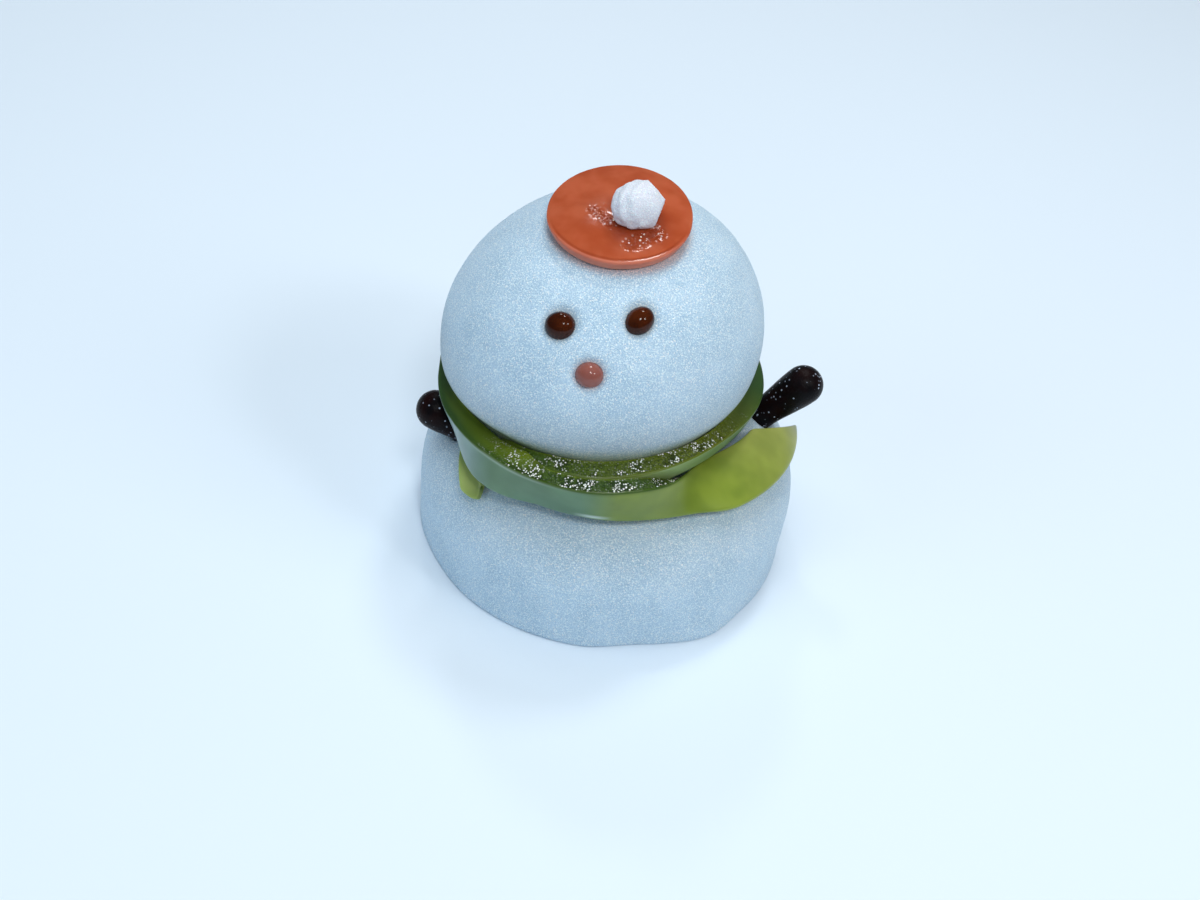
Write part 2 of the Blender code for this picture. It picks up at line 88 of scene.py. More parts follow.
# Where the scarf pinches it in: azimuth, half width and depth, and the elevations where that ends
HEAD_PINCHES = (
    (-85.0, 40.0, 1.10 * MM),
    (-38.0, 42.0, 1.30 * MM),
    (57.0, 38.0, 0.55 * MM),
)
HEAD_PINCH_FADE = (-17.0, -7.0)

# Face: name, azimuth and elevation on the head, half width, half length and turn
FACE_DROPS = (
    ("eye_left", -18.3, 36.8, 1.45 * MM, 1.60 * MM, 15.0),
    ("eye_right", 17.6, 42.0, 1.35 * MM, 1.65 * MM, 35.0),
    ("nose", -2.4, 22.7, 1.35 * MM, 1.45 * MM, 0.0),
)
DROP_DEPTH = 1.25 * MM
DROP_SINK = 0.55 * MM
DROP_BED_GAP = 0.04 * MM
DROP_FUNNEL_SHARE = 0.65
DROP_FUNNEL_WIDTH = 0.42

# Hat: a thin jelly disc draped on the crown
HAT_AZIMUTH = 20.0
HAT_ELEVATION = 86.0
HAT_RADIUS = 7.9 * MM
HAT_THICKNESS = 1.25 * MM
HAT_EDGE = 0.28 * MM
HAT_SEAT_GAP = 0.04 * MM
HAT_BACK_LIFT = 0.9 * MM
HAT_TUCK = 0.045

# A fine groove inside the hat's front rim, and the wet crinkled strips beside the crumb, seen from
# above: from, to and half width
HAT_GROOVE_INSET = 0.45 * MM
HAT_GROOVE_HALF_WIDTH = 0.22 * MM
HAT_GROOVE_DEPTH = 0.06 * MM
HAT_WET_STRIPS = (
    ((-5.0 * MM, -1.1 * MM), (-3.0 * MM, -3.2 * MM), 0.9 * MM),
    ((-0.6 * MM, -5.5 * MM), (1.9 * MM, -3.4 * MM), 1.3 * MM),
)

# The crumb on the hat: an egg, uneven all round, torn off flat along two planes at its right end
POMPON_FOOT = (-0.2 * MM, -2.35 * MM)
POMPON_RADII = (3.10 * MM, 2.50 * MM, 2.60 * MM)
POMPON_FRONT_PRESS = 0.88
POMPON_TURN = 20.0
POMPON_SIT = 0.62
POMPON_UNEVEN = 0.04
POMPON_WAVES = Vector((9.0, 8.0, 5.0))
POMPON_WAVE_START = 2.0
POMPON_TEARS = (
    (Vector((0.67, 0.49, 0.55)), 2.20 * MM),
    (Vector((0.97, -0.17, -0.19)), 2.20 * MM),
)

# Scarf: one strip of jelly, from the left end round the neck once and a quarter to the right end
SCARF_START_WIDTH = 3.5 * MM
SCARF_FLAT_WIDTH = 5.6 * MM
SCARF_THICKNESS = 2.0 * MM
SCARF_START_THICKNESS = 0.7 * MM
SCARF_EDGE = 0.35 * MM
SCARF_START = -62.5
SCARF_START_SLANT = 14.0
SCARF_START_REACH = 26.0
SCARF_END = 438.5
SCARF_END_SLANT = 22.0
SCARF_END_REACH = 35.0
SCARF_LAYER_GAP = 0.35 * MM
SCARF_LAYER = (305.0, 326.0)
SCARF_SHOULDER_CURL = 1.0 / (10.5 * MM)
SCARF_SHOULDER_LIFT = 0.2 * MM
SCARF_DIP = 0.6 * MM
SCARF_DIP_TURN = 390.0
SCARF_DIP_REACH = 16.0

# The turns between which its edges rise off the shoulder, come down, and it gets its full thickness
SCARF_RISE = (-52.0, -33.0)
SCARF_FOOT_RISE = (-42.0, -27.0)
SCARF_FALL = (376.0, 408.0)
SCARF_FILL = (-40.0, 6.0)

# The radius of its upper edge where it lies: at the start, then from turn, to turn, change
SCARF_LEFT_LIE = (17.6 * MM, -60.0, -42.0, -2.6 * MM)
SCARF_RIGHT_LIE = (13.3 * MM, 405.0, 448.0, 1.6 * MM)
SCARF_LIE_SHARE = 0.88

# How its width changes: from turn, to turn, change
SCARF_WIDENINGS = (
    (-60.0, -48.0, 1.4 * MM),
    (-38.0, -25.0, -1.0 * MM),
    (-10.0, 44.0, -1.5 * MM),
    (298.0, 346.0, 3.2 * MM),
    (375.0, 440.0, 1.4 * MM),
)

# How its top edge climbs round the head: elevation at the start, then from turn, to turn, change
SCARF_START_ELEVATION = -20.8
SCARF_CLIMBS = (
    (-64.0, -14.0, 9.6),
    (25.0, 80.0, -4.3),
    (190.0, 262.0, -1.5),
    (300.0, 352.0, 5.8),
)

# Where its second pass leans in over the first: turn, half width and lean in degrees
SCARF_LEANS = (
    (323.0, 25.0, 24.0),
    (392.0, 36.0, 13.0),
)

# Where it is thicker or thinner than usual: turn, half width in degrees, then by how much
SCARF_SWELLS = (
    (-64.0, 16.0, 0.80 * MM),
    (45.0, 40.0, -0.50 * MM),
    (280.0, 32.0, -0.50 * MM),
    (352.0, 48.0, -0.50 * MM),
    (405.0, 40.0, -0.50 * MM),
)

# The soft lip of its top edge against the head: how near it comes, how far it may reach, how deep it
# is, between which turns it covers the first pass, and how far that one's edge is pressed down there
SCARF_LIP_GAP = 0.04 * MM
SCARF_LIP_REACH = 1.6 * MM
SCARF_LIP_SHARE = 0.22
SCARF_LIP_END = (334.0, 350.0)
SCARF_PRESSED = 0.8 * MM

# Where its cut edge is grainy, where painted light makes it glow next to the head, and where a stronger
# painted glow lightens the shaded wedge: start, full, until, end
SCARF_GRAINY = ((-30.0, -5.0, 35.0, 80.0), (318.0, 345.0, 395.0, 420.0))
SCARF_GLOW = (-40.0, -25.0, 375.0, 400.0)
SCARF_DEEP_GLOW = (285.0, 305.0, 338.0, 352.0)

# Its two painted highlights: share of the width and its half width, turn and its half width
SCARF_CRESCENT = (0.86, 0.07, 364.0, 7.0)
SCARF_BORDER = (0.05, 0.03, 335.0, 30.0)

# Arms: stubby clubs of dark paste pushed into the shoulder, and the beds that they press in it
ARM_BASE_RADIUS = 1.8 * MM
ARM_DEPTH = 1.2 * MM
ARMS = (
    ("arm_left", Vector((-16.4, -4.8, 14.9)) * MM, Vector((-20.3, -4.8, 17.4)) * MM, 2.30 * MM),
    ("arm_right", Vector((17.2, 3.5, 15.8)) * MM, Vector((21.25, 3.5, 20.85)) * MM, 2.35 * MM),
)
ARM_BED_REACH = 1.6 * MM
ARM_BED_DEPTH = 0.25 * MM
ARM_BED_GAP = 0.05 * MM

# Soft lights: name, place, size and colour
SOFT_LIGHTS = (
    ("overhead", Vector((-0.05, 0.02, 0.50)), 0.30, (0.93, 0.97, 1.0)),
    ("window", Vector((-0.45, -0.25, 0.30)), 0.35, (0.70, 0.87, 1.0)),
    ("front", Vector((-0.05, -0.50, 0.30)), 0.30, (0.93, 0.97, 1.0)),
    ("right", Vector((0.40, -0.15, 0.35)), 0.25, (1.0, 0.93, 0.87)),
)

# Small lights that wet surfaces mirror: name, place, size and share of their power
SMALL_LIGHTS = (
    ("glint_front", Vector((0.063, -0.272, 0.415)), 0.09, 0.55),
    ("glint_right", Vector((0.290, -0.203, 0.354)), 0.08, 0.30),
    ("glint_back", Vector((0.053, 0.183, 0.423)), 0.08, 0.40),
    ("glint_rear", Vector((-0.078, 0.298, 0.371)), 0.05, 0.18),
)
LIT_POINT = Vector((0.0, 0.0, 25.0)) * MM

# Camera: place, tilt and roll of the view, and the lens for a 36 mm wide frame
CAMERA_PLACE = Vector((-1.24, -141.5, 137.13)) * MM
CAMERA_TILT = 48.07
CAMERA_ROLL = 7.04
CAMERA_LENS = 48.0


def smoothstep(start, end, value):
    t = min(max((value - start) / (end - start), 0.0), 1.0)
    return t * t * (3.0 - 2.0 * t)


def fade(start, end, value):
    """One before the start, falling smoothly to zero at the end."""
    return 1.0 - smoothstep(start, end, value)


def swell(value, centre, half_width):
    """One at the centre, falling smoothly to zero at the half width."""
    return fade(0.0, half_width, abs(value - centre))


def swell_round(azimuth, centre, half_width):
    """The same as swell, round the circle."""
    return swell((azimuth - centre + 180.0) % 360.0, 180.0, half_width)


def between(value, start, full, until, end):
    """Rises smoothly from the start to one at full, and falls from until to zero at the end."""
    return smoothstep(start, full, value) * fade(until, end, value)


def quarter_round(share):
    """How far a quarter circle has come in at a share of its rise."""
    return 1.0 - math.sqrt(max(1.0 - share * share, 0.0))


def outward(azimuth):
    angle = math.radians(azimuth)
    return Vector((math.sin(angle), -math.cos(angle), 0.0))


def azimuth_of(place):
    return math.degrees(math.atan2(place[0], -place[1]))


def body_radius(height, azimuth):
    foot = max(1.0 - height / BODY_FOOT_ROUNDING, 0.0)
    shoulder = min(max((height - BODY_SHOULDER_START) / BODY_SHOULDER_RISE, 0.0), 1.0)
    radius = BODY_WALL_RADIUS - (BODY_WALL_RADIUS - BODY_FOOT_RADIUS) * quarter_round(foot)
    radius -= BODY_SHOULDER_WIDTH * quarter_round(shoulder)
    for at, half, depth, top in THUMB_MARKS:
        radius += depth * swell_round(azimuth, at, half) * fade(0.0, top, height)
    return radius


def shoulder_height(radius):
    inward = BODY_WALL_RADIUS - radius
    across = min(max(1.0 - inward / BODY_SHOULDER_WIDTH, 0.0), 1.0)
    return BODY_SHOULDER_START + BODY_SHOULDER_RISE * math.sqrt(1.0 - across * across)


def head_radius(direction):
    x, y, z = direction
    fullness = HEAD_SIDE_SWELL * x * x + HEAD_DEPTH_SWELL * y * y - HEAD_HEIGHT_PRESS * z * z
    below = fade(*HEAD_PINCH_FADE, math.degrees(math.asin(min(max(z, -1.0), 1.0))))
    azimuth = azimuth_of(direction)
    pinch = below * sum(depth * swell_round(azimuth, at, half) for at, half, depth in HEAD_PINCHES)
    return HEAD_RADIUS * (1.0 + fullness + HEAD_LEAN * x * z + HEAD_TWIST * x * y) - pinch


def head_direction(azimuth, elevation):
    rise = math.radians(elevation)
    return outward(azimuth) * math.cos(rise) + Vector((0.0, 0.0, math.sin(rise)))


def head_point(azimuth, elevation, lift):
    direction = head_direction(azimuth, elevation)
    return HEAD_CENTRE + direction * (head_radius(direction) + lift)


def crown_height(x, y):
    """The height of the top of the head above a point of the floor."""
    level = Vector((x - HEAD_CENTRE.x, y - HEAD_CENTRE.y, 0.0))
    height = HEAD_RADIUS
    for _ in range(8):
        direction = Vector((level.x, level.y, height)).normalized()
        reach = head_radius(direction)
        height = math.sqrt(max(reach * reach - level.length_squared, 0.0))
    return HEAD_CENTRE.z + height


def hand_relief(point, depth):
    """How deep palms and fingers left a piece of paste below its full form, always inwards."""
    broad = 0.5 + 0.5 * noise.noise(point * 150.0)
    small = 0.5 + 0.5 * noise.noise(point * 620.0 + Vector((7.0, 3.0, 1.0)))
    return depth * (0.75 * broad + 0.25 * small)


def mask_layer(bm, name):
    return bm.verts.layers.float_color.new(name)


def new_object(name, bm, material):
    """An object in the scene with the mesh of a bmesh and one material."""
    mesh = bpy.data.meshes.new(name)
    bm.to_mesh(mesh)
    bm.free()
    mesh.materials.append(material)
    made = bpy.data.objects.new(name, mesh)
    bpy.context.scene.collection.objects.link(made)
    return made


def finish_piece(name, bm, material, slot, *nodes):
    """Closes a bmesh into a piece that rides on the part and stands for its solids."""
    bmesh.ops.recalc_face_normals(bm, faces=bm.faces)
    # That can leave a thin bent piece, such as the hat or the scarf, inside out
    if bm.calc_volume(signed=True) < 0.0:
        bmesh.ops.reverse_faces(bm, faces=bm.faces)
    piece = new_object(name, bm, material)
    piece.data.shade_smooth()
    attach(piece, "root")
    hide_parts(*nodes)


def spin_profile(bm, outline, steps):
    """Turns an outline of radius and height once round the Z axis."""
    points = [bm.verts.new((radius, 0.0, height)) for radius, height in outline]
    edges = [bm.edges.new(pair) for pair in zip(points, points[1:])]
    bmesh.ops.spin(
        bm, geom=points + edges, cent=(0.0, 0.0, 0.0), axis=(0.0, 0.0, 1.0),
        angle=math.tau, steps=steps, use_merge=True,
    )
    bmesh.ops.remove_doubles(bm, verts=bm.verts, dist=0.001 * MM)


def feed(tree, node, sockets):
    """Gives each named socket of a node a link from another socket, a number or a colour."""
    for key, value in sockets.items():
        socket = node.inputs[key]
        if isinstance(value, bpy.types.NodeSocket):
            tree.links.new(value, socket)
        else:
            socket.default_value = (*value, 1.0) if socket.type == "RGBA" else value


def add_node(tree, kind, sockets=None, **settings):
    """A node with its properties set by name and its sockets fed."""
    made = tree.nodes.new(kind)
    for key, value in settings.items():
        setattr(made, key, value)
    feed(tree, made, sockets or {})
    return made


def ramp(tree, factor, stops):
    """A colour ramp over stops of (position, colour)."""
    made = add_node(tree, "ShaderNodeValToRGB", {"Fac": factor})
    elements = made.color_ramp.elements
    for position, _ in stops[1:-1]:
        elements.new(position)
    for element, (position, colour) in zip(elements, stops):
        element.position = position
        element.color = (*colour, 1.0)
    return made.outputs["Color"]


def blend_colours(tree, factor, first, second, mode="MIX"):
    """Mixes two colours, or multiplies the first by the second, as far as the factor says."""
    sockets = {0: factor, 6: first, 7: second}
    return add_node(tree, "ShaderNodeMix", sockets, data_type="RGBA", blend_type=mode).outputs[2]


def calculate(tree, operation, first, second):
    return add_node(tree, "ShaderNodeMath", {0: first, 1: second}, operation=operation).outputs[0]


def product(tree, first, second):
    return calculate(tree, "MULTIPLY", first, second)


def remap(tree, value, low, high, to_low=0.0, to_high=1.0):
    sockets = {"Value": value, "From Min": low, "From Max": high, "To Min": to_low, "To Max": to_high}
    made = add_node(tree, "ShaderNodeMapRange", sockets, interpolation_type="SMOOTHSTEP")
    return made.outputs["Result"]


def relief(tree, height, distance, strength):
    """The normal of a surface with a fine relief."""
    sockets = {"Height": height, "Distance": distance, "Strength": strength}
    return add_node(tree, "ShaderNodeBump", sockets).outputs["Normal"]


def painted(tree, name):
    """The three colours and the alpha of a mask that is painted on a piece."""
    mask = add_node(tree, "ShaderNodeAttribute", attribute_name=name).outputs
    parts = add_node(tree, "ShaderNodeSeparateColor", {"Color": mask["Color"]}).outputs
    return (*parts, mask["Alpha"])


def millimetres(tree):
    """Object coordinates counted in millimetres."""
    place = add_node(tree, "ShaderNodeTexCoord").outputs["Object"]
    sockets = {0: place, "Scale": 1.0 / MM}
    return add_node(tree, "ShaderNodeVectorMath", sockets, operation="SCALE").outputs[0]


def grain_group():
    """Fine grain: packed crumbs of a size, the sparkling ones among them, and slow cloudy patches."""
    group = bpy.data.node_groups.get("Fine grain")
    if group:
        return group
    group = bpy.data.node_groups.new("Fine grain", "ShaderNodeTree")
    for way, kind, names in (
        ("INPUT", "NodeSocketVector", ("Place",)),
        ("INPUT", "NodeSocketFloat", ("Grain size", "Patch size", "Sparkle share")),
        ("OUTPUT", "NodeSocketFloat", ("Height", "Shade", "Sparkle", "Patch")),
    ):
        for name in names:
            group.interface.new_socket(name=name, in_out=way, socket_type=kind)
    given = add_node(group, "NodeGroupInput").outputs
    fine = {"Vector": given["Place"], "Scale": calculate(group, "DIVIDE", 1.0, given["Grain size"])}
    slow = {"Vector": given["Place"], "Scale": calculate(group, "DIVIDE", 1.0, given["Patch size"])}
    crumbs = add_node(group, "ShaderNodeTexNoise", {**fine, "Detail": 3.0, "Roughness": 0.62})
    cells = add_node(group, "ShaderNodeTexVoronoi", {**fine, "Randomness": 1.0}, feature="F1").outputs
    patches = add_node(group, "ShaderNodeTexNoise", {**slow, "Detail": 2.0, "Roughness": 0.5})
    chance = add_node(group, "ShaderNodeSeparateColor", {"Color": cells["Color"]}).outputs
    rare = calculate(group, "SUBTRACT", 1.0, given["Sparkle share"])
    lucky = calculate(group, "GREATER_THAN", chance[0], rare)
    near = remap(group, cells["Distance"], 0.6, 0.2)
    bright = remap(group, chance[1], 0.0, 1.0, 0.25, 1.0)
    domes = remap(group, cells["Distance"], 0.7, 0.0)
    add_node(group, "NodeGroupOutput", {
        "Height": calculate(group, "ADD", product(group, domes, 0.45), crumbs.outputs["Fac"]),
        "Shade": remap(group, crumbs.outputs["Fac"], 0.32, 0.68),
        "Sparkle": product(group, product(group, lucky, near), bright),
        "Patch": remap(group, patches.outputs["Fac"], 0.3, 0.7),
    })
    return group


def place_grain(tree, grain_size, patch_size, sparkle_share):
    """The fine grain at its sizes on a piece: its height, shade, sparkle and patches."""
    sockets = {
        "Place": millimetres(tree), "Grain size": grain_size / MM, "Patch size": patch_size / MM,
        "Sparkle share": sparkle_share,
    }
    return add_node(tree, "ShaderNodeGroup", sockets, node_tree=grain_group()).outputs


def new_material(name, roughness, shine, glow=0.0, glow_depth=0.0, glow_colours=(1.0, 1.0, 1.0)):
    """A material with its roughness, shine and the glow of light inside it."""
    material = bpy.data.materials.new(name)
    material.use_nodes = True
    tree = material.node_tree
    shader = tree.nodes["Principled BSDF"]
    feed(tree, shader, {"Roughness": roughness, "Specular IOR Level": shine})
    if glow:
        feed(tree, shader, {
            "Subsurface Weight": glow, "Subsurface Scale": glow_depth, "Subsurface Radius": glow_colours,
        })
    return material, tree, shader


def paste_material(settings, name, light, shade):
    """Moist white bean paste: grainy, softly clouded, with painted glints on its sparkling crumbs, and
    tinted by a mask of red tints, painted shade and painted light.
    """
    material = bpy.data.materials.get(name)
    if material:
        return material
    material, tree, shader = new_material(name, 0.5, 0.35, 0.15, 1.0 * MM, (1.0, 0.8, 0.7))
    grain = place_grain(tree, settings.grain_size, settings.patch_size, settings.sparkle_share)
    colour = blend_colours(tree, grain["Patch"], shade, light)
    levels = ((0.0, 0.0), (0.4, 0.08), (0.7, 0.38), (1.0, 0.95))
    crumb = ramp(tree, grain["Shade"], [(position, (level,) * 3) for position, level in levels])
    colour = blend_colours(tree, crumb, colour, (0.80, 0.94, 1.0))
    # Painted glints: the sparkling crumbs are lightened to white in the base colour
    colour = blend_colours(tree, grain["Sparkle"], colour, (1.0, 1.0, 1.0))
    # The mask's red lays on red tints and painted red light, its green painted shade with green light from
    # the scarf, its brown darker rings and painted shade
    red, green, brown, _ = painted(tree, "stain")
    colour = blend_colours(tree, red, colour, (1.0, 0.52, 0.42), "MULTIPLY")
    colour = blend_colours(tree, green, colour, (0.50, 0.50, 0.20), "MULTIPLY")
    feed(tree, shader, {
        "Base Color": blend_colours(tree, brown, colour, (0.66, 0.55, 0.48), "MULTIPLY"),
        "Roughness": remap(tree, grain["Sparkle"], 0.0, 1.0, 0.5, 0.2),
        "Normal": relief(tree, grain["Height"], 0.12 * MM, 0.8),
    })
    return material


def jelly_material(name, colour, deep, roughness, glow_depth, shine):
    """Clear set jelly: deeper and lighter clouds, painted shade, painted light that pales thin edges, and a
    wet surface with painted glints.
    """
    material, tree, shader = new_material(name, roughness, shine, 0.35, glow_depth, (1.0, 0.45, 0.25))
    grain = place_grain(tree, 0.5 * MM, 3.0 * MM, 0.0)
    drops = place_grain(tree, 0.3 * MM, 3.0 * MM, 0.3)
    painted_shade, pale, wet, _ = painted(tree, "depth")
    shade = blend_colours(tree, grain["Patch"], deep, colour)
    # Painted shade darkens the jelly where the mask's red channel says
    shade = blend_colours(tree, painted_shade, shade, (0.72, 0.60, 0.50), "MULTIPLY")
    # Painted light pales the thin edges where the mask's green channel says
    shade = blend_colours(tree, pale, shade, (0.72, 0.30, 0.22))
    # Painted glints: sparkling spots in the wet places are lightened to near white
    glinting = product(tree, product(tree, drops["Sparkle"], wet), 1.2)
    height = product(tree, grain["Height"], remap(tree, wet, 0.0, 1.0, 1.0, 6.0))
    feed(tree, shader, {
        "Base Color": blend_colours(tree, glinting, shade, (1.0, 0.86, 0.80)),
        "Roughness": remap(tree, pale, 0.0, 0.4, roughness, 0.6),
        "Normal": relief(tree, height, 0.02 * MM, 0.35),
    })
    return material


def turn_ramp(tree, place, stops):
    """A colour ramp along the strip, over stops of (turn, colour)."""
    length = SCARF_END - SCARF_START
    return ramp(tree, place, [((turn - SCARF_START) / length, colour) for turn, colour in stops])


def scarf_material(settings):
    """Green jelly strip: a dark grainy cut edge with painted glints, glow and shade, a pale milky face with
    painted highlights, and yellow-green ends.
    """
    material, tree, shader = new_material(
        "green scarf jelly", 0.3, 0.45, 0.3, 1.2 * MM, (0.7, 1.0, 0.3),
    )
    place, shine, cut, inner = painted(tree, "strip")
    sparkling = add_node(tree, "ShaderNodeAttribute", attribute_name="sparkle").outputs["Fac"]
    grain = place_grain(tree, settings.grain_size, 4.0 * MM, 0.55)
    start, mint, tail, end = (
        settings.start_colour, settings.mint_colour, settings.tail_colour, settings.end_colour,
    )
    front = [share * channel for share, channel in zip((0.76, 0.80, 0.60), tail)]
    # The left tip's paler bluish colour is a painted highlight, and the outer face's milky mint is partly a
    # painted reflection of the pale floor below it
    face = turn_ramp(tree, place, (
        (SCARF_START, start), (0.0, start), (60.0, mint), (318.0, settings.tip_colour), (331.0, mint),
        (361.0, mint), (370.0, front), (388.0, front), (408.0, tail), (SCARF_END, end),
    ))
    cloud = ramp(tree, grain["Patch"], ((0.0, (0.74, 0.78, 0.74)), (1.0, (1.0, 1.0, 1.0))))
    face = blend_colours(tree, 1.0, face, cloud, "MULTIPLY")
    dark, glow, smooth = settings.cut_colour, settings.cut_glow_colour, settings.cut_smooth_colour
    # The glow stops at -38 and 50 are painted light coming through the cut edge
    top = turn_ramp(tree, place, (
        (SCARF_START, start), (-38.0, glow), (-20.0, dark), (50.0, glow), (90.0, smooth),
        (300.0, smooth), (330.0, dark), (385.0, dark), (408.0, tail), (SCARF_END, end),
    ))
    flecks = ((0.0, (0.35, 0.4, 0.3)), (0.5, (0.85, 0.85, 0.85)), (1.0, (1.2, 1.2, 1.0)))
    top = blend_colours(tree, sparkling, top, ramp(tree, grain["Shade"], flecks), "MULTIPLY")
    # Painted shade: in clusters of the grainy cut edge, the gaps between the glints are darkened
    clusters = add_node(tree, "ShaderNodeTexNoise", {
        "Vector": millimetres(tree), "Scale": 0.55, "Detail": 1.0, "Roughness": 0.6,
    })
    crowded = product(tree, remap(tree, clusters.outputs["Fac"], 0.46, 0.60, 0.06, 1.0), sparkling)
    top = blend_colours(tree, product(tree, crowded, 0.8), top, (0.25, 0.30, 0.20), "MULTIPLY")
    # Painted light: the cut edge is lightened to a yellow-green glow beside the head, strongest in the
    # shaded wedge
    top = blend_colours(tree, inner, top, (0.20, 0.28, 0.018))
    colour = blend_colours(tree, cut, face, top)
    # Painted highlights: the pale crescent low on the outer face and the bright line along its upper border
    colour = blend_colours(tree, shine, colour, (0.70, 0.82, 0.78))
    # Painted glints: sparkling crumbs in the clusters are lightened to near white
    spots = product(tree, product(tree, grain["Sparkle"], crowded), 2.2)
    height = product(tree, grain["Height"], remap(tree, sparkling, 0.0, 1.0, 0.05, 1.0))
    feed(tree, shader, {
        "Base Color": blend_colours(tree, spots, colour, (0.97, 1.0, 0.96)),
        "Roughness": remap(tree, sparkling, 0.0, 1.0, 0.3, 0.12),
        "Normal": relief(tree, height, 0.08 * MM, 0.9),
    })
    return material


def arm_material(settings):
    """Nearly black paste with a moist skin and fine pale glints painted into its colour."""
    material, tree, shader = new_material("dark arm paste", 0.35, 0.08)
    grain = place_grain(tree, settings.grain_size, 2.5 * MM, 0.07)
    colour = blend_colours(tree, grain["Patch"], settings.colour, settings.edge_colour)
    feed(tree, shader, {
        # Painted glints: the sparkling crumbs are lightened to pale blue
        "Base Color": blend_colours(tree, grain["Sparkle"], colour, (0.62, 0.72, 0.90)),
        "Normal": relief(tree, grain["Height"], 0.06 * MM, 0.6),
    })
    return material


def drop_frame(azimuth, elevation, turn):
    """The place of a drop's middle and its own axes, as one matrix."""
    facing = head_direction(azimuth, elevation).to_track_quat("Z", "Y").to_matrix().to_4x4()
    spot = Matrix.Translation(head_point(azimuth, elevation, -DROP_SINK))
    return spot @ facing @ Matrix.Rotation(math.radians(turn), 4, "Z")


def drop_reach(point, inverse, wide, narrow):
    """How far a point is from a drop's middle, as a share of the way to its rim."""
    local = inverse @ point
    return math.hypot(local.x / wide, local.y / narrow)


def drop_dimple(reach):
    """How far the paste is pressed in by a drop: a bed under it and a soft funnel round it."""
    if reach < 1.0:
        return DROP_SINK + (DROP_DEPTH + DROP_BED_GAP) * math.sqrt(1.0 - reach * reach)
    return DROP_FUNNEL_SHARE * DROP_SINK * math.exp(-(((reach - 1.0) / DROP_FUNNEL_WIDTH) ** 2))


def build_head(settings):
    """A ball of paste with beds for the face drops, cut level where it sits on the body."""
    drops = []
    for name, azimuth, elevation, narrow, wide, turn in FACE_DROPS:
        inverse = drop_frame(azimuth, elevation, turn).inverted()
        drops.append((name, head_direction(azimuth, elevation), inverse, wide, narrow))
    bm = bmesh.new()
    bmesh.ops.create_icosphere(bm, subdivisions=7, radius=1.0)
    for closeness in (0.985, 0.990):
        near = [
            edge for edge in bm.edges
            if any(edge.verts[0].co.normalized().dot(middle) > closeness for _, middle, *_ in drops)
        ]
        bmesh.ops.subdivide_edges(bm, edges=near, cuts=1, use_grid_fill=True)
    stain = mask_layer(bm, "stain")
    hat_middle = head_direction(HAT_AZIMUTH, HAT_ELEVATION)
    for vert in bm.verts:
        direction = vert.co.normalized()
        point = HEAD_CENTRE + direction * head_radius(direction)
        depth = hand_relief(point, settings.hand_depth)
        rings = {"eye_left": 0.0, "eye_right": 0.0, "nose": 0.0}
        for name, middle, inverse, wide, narrow in drops:
            if direction.dot(middle) > 0.96:
                reach = drop_reach(point, inverse, wide, narrow)
                depth += drop_dimple(reach)
                rings[name] = fade(0.9, 1.4, reach)
        vert.co = point - direction * depth
        # Painted into the mask: red under and just round the hat's rim, most at the front, and a pink ring
        # round the nose; green, as painted shade with green light from the scarf, on the lowest front of the
        # head; brown, as darker rings round the eyes and as painted shade on the lower head
        from_hat = math.acos(min(direction.dot(hat_middle), 1.0)) * HEAD_RADIUS - HAT_RADIUS
        front = smoothstep(-0.3, 0.8, -direction.y / max(math.hypot(direction.x, direction.y), 1e-6))
        under_hat = fade(-0.2 * MM, 1.1 * MM, from_hat) * (0.25 + 0.45 * front)
        rise = math.degrees(math.asin(direction.z))
        green = fade(-13.0, -4.5, rise) * fade(70.0, 110.0, abs(azimuth_of(direction)))
        brown = max(rings["eye_left"], rings["eye_right"], 0.75 * fade(-12.0, 16.0, rise))
        vert[stain] = (max(under_hat, 0.55 * rings["nose"]), 0.85 * green, 0.6 * brown, 1.0)
    seat = Vector((HEAD_CENTRE.x, HEAD_CENTRE.y, BODY_HEIGHT + 0.03 * MM))
    everything = bm.verts[:] + bm.edges[:] + bm.faces[:]
    sliced = bmesh.ops.bisect_plane(
        bm, geom=everything, dist=0.001 * MM, plane_co=seat, plane_no=(0.0, 0.0, -1.0), clear_outer=True,
    )
    rim = [item for item in sliced["geom_cut"] if isinstance(item, bmesh.types.BMEdge)]
    bmesh.ops.edgeloop_fill(bm, edges=rim)
    material = paste_material(settings, "white bean paste", settings.colour, settings.shade_colour)
    finish_piece("head_paste", bm, material, "paste", "head")


def arm_radius(end_radius, share):
    return ARM_BASE_RADIUS + (end_radius - ARM_BASE_RADIUS) * smoothstep(0.0, 1.0, share)


def arm_distance(point, base, end, end_radius):
    """How far a point is from an arm's skin, negative inside it."""
    axis = end - base
    along = min(max((point - base).dot(axis) / axis.length_squared, -ARM_DEPTH / axis.length), 1.0)
    return (point - base - axis * along).length - arm_radius(end_radius, max(along, 0.0))


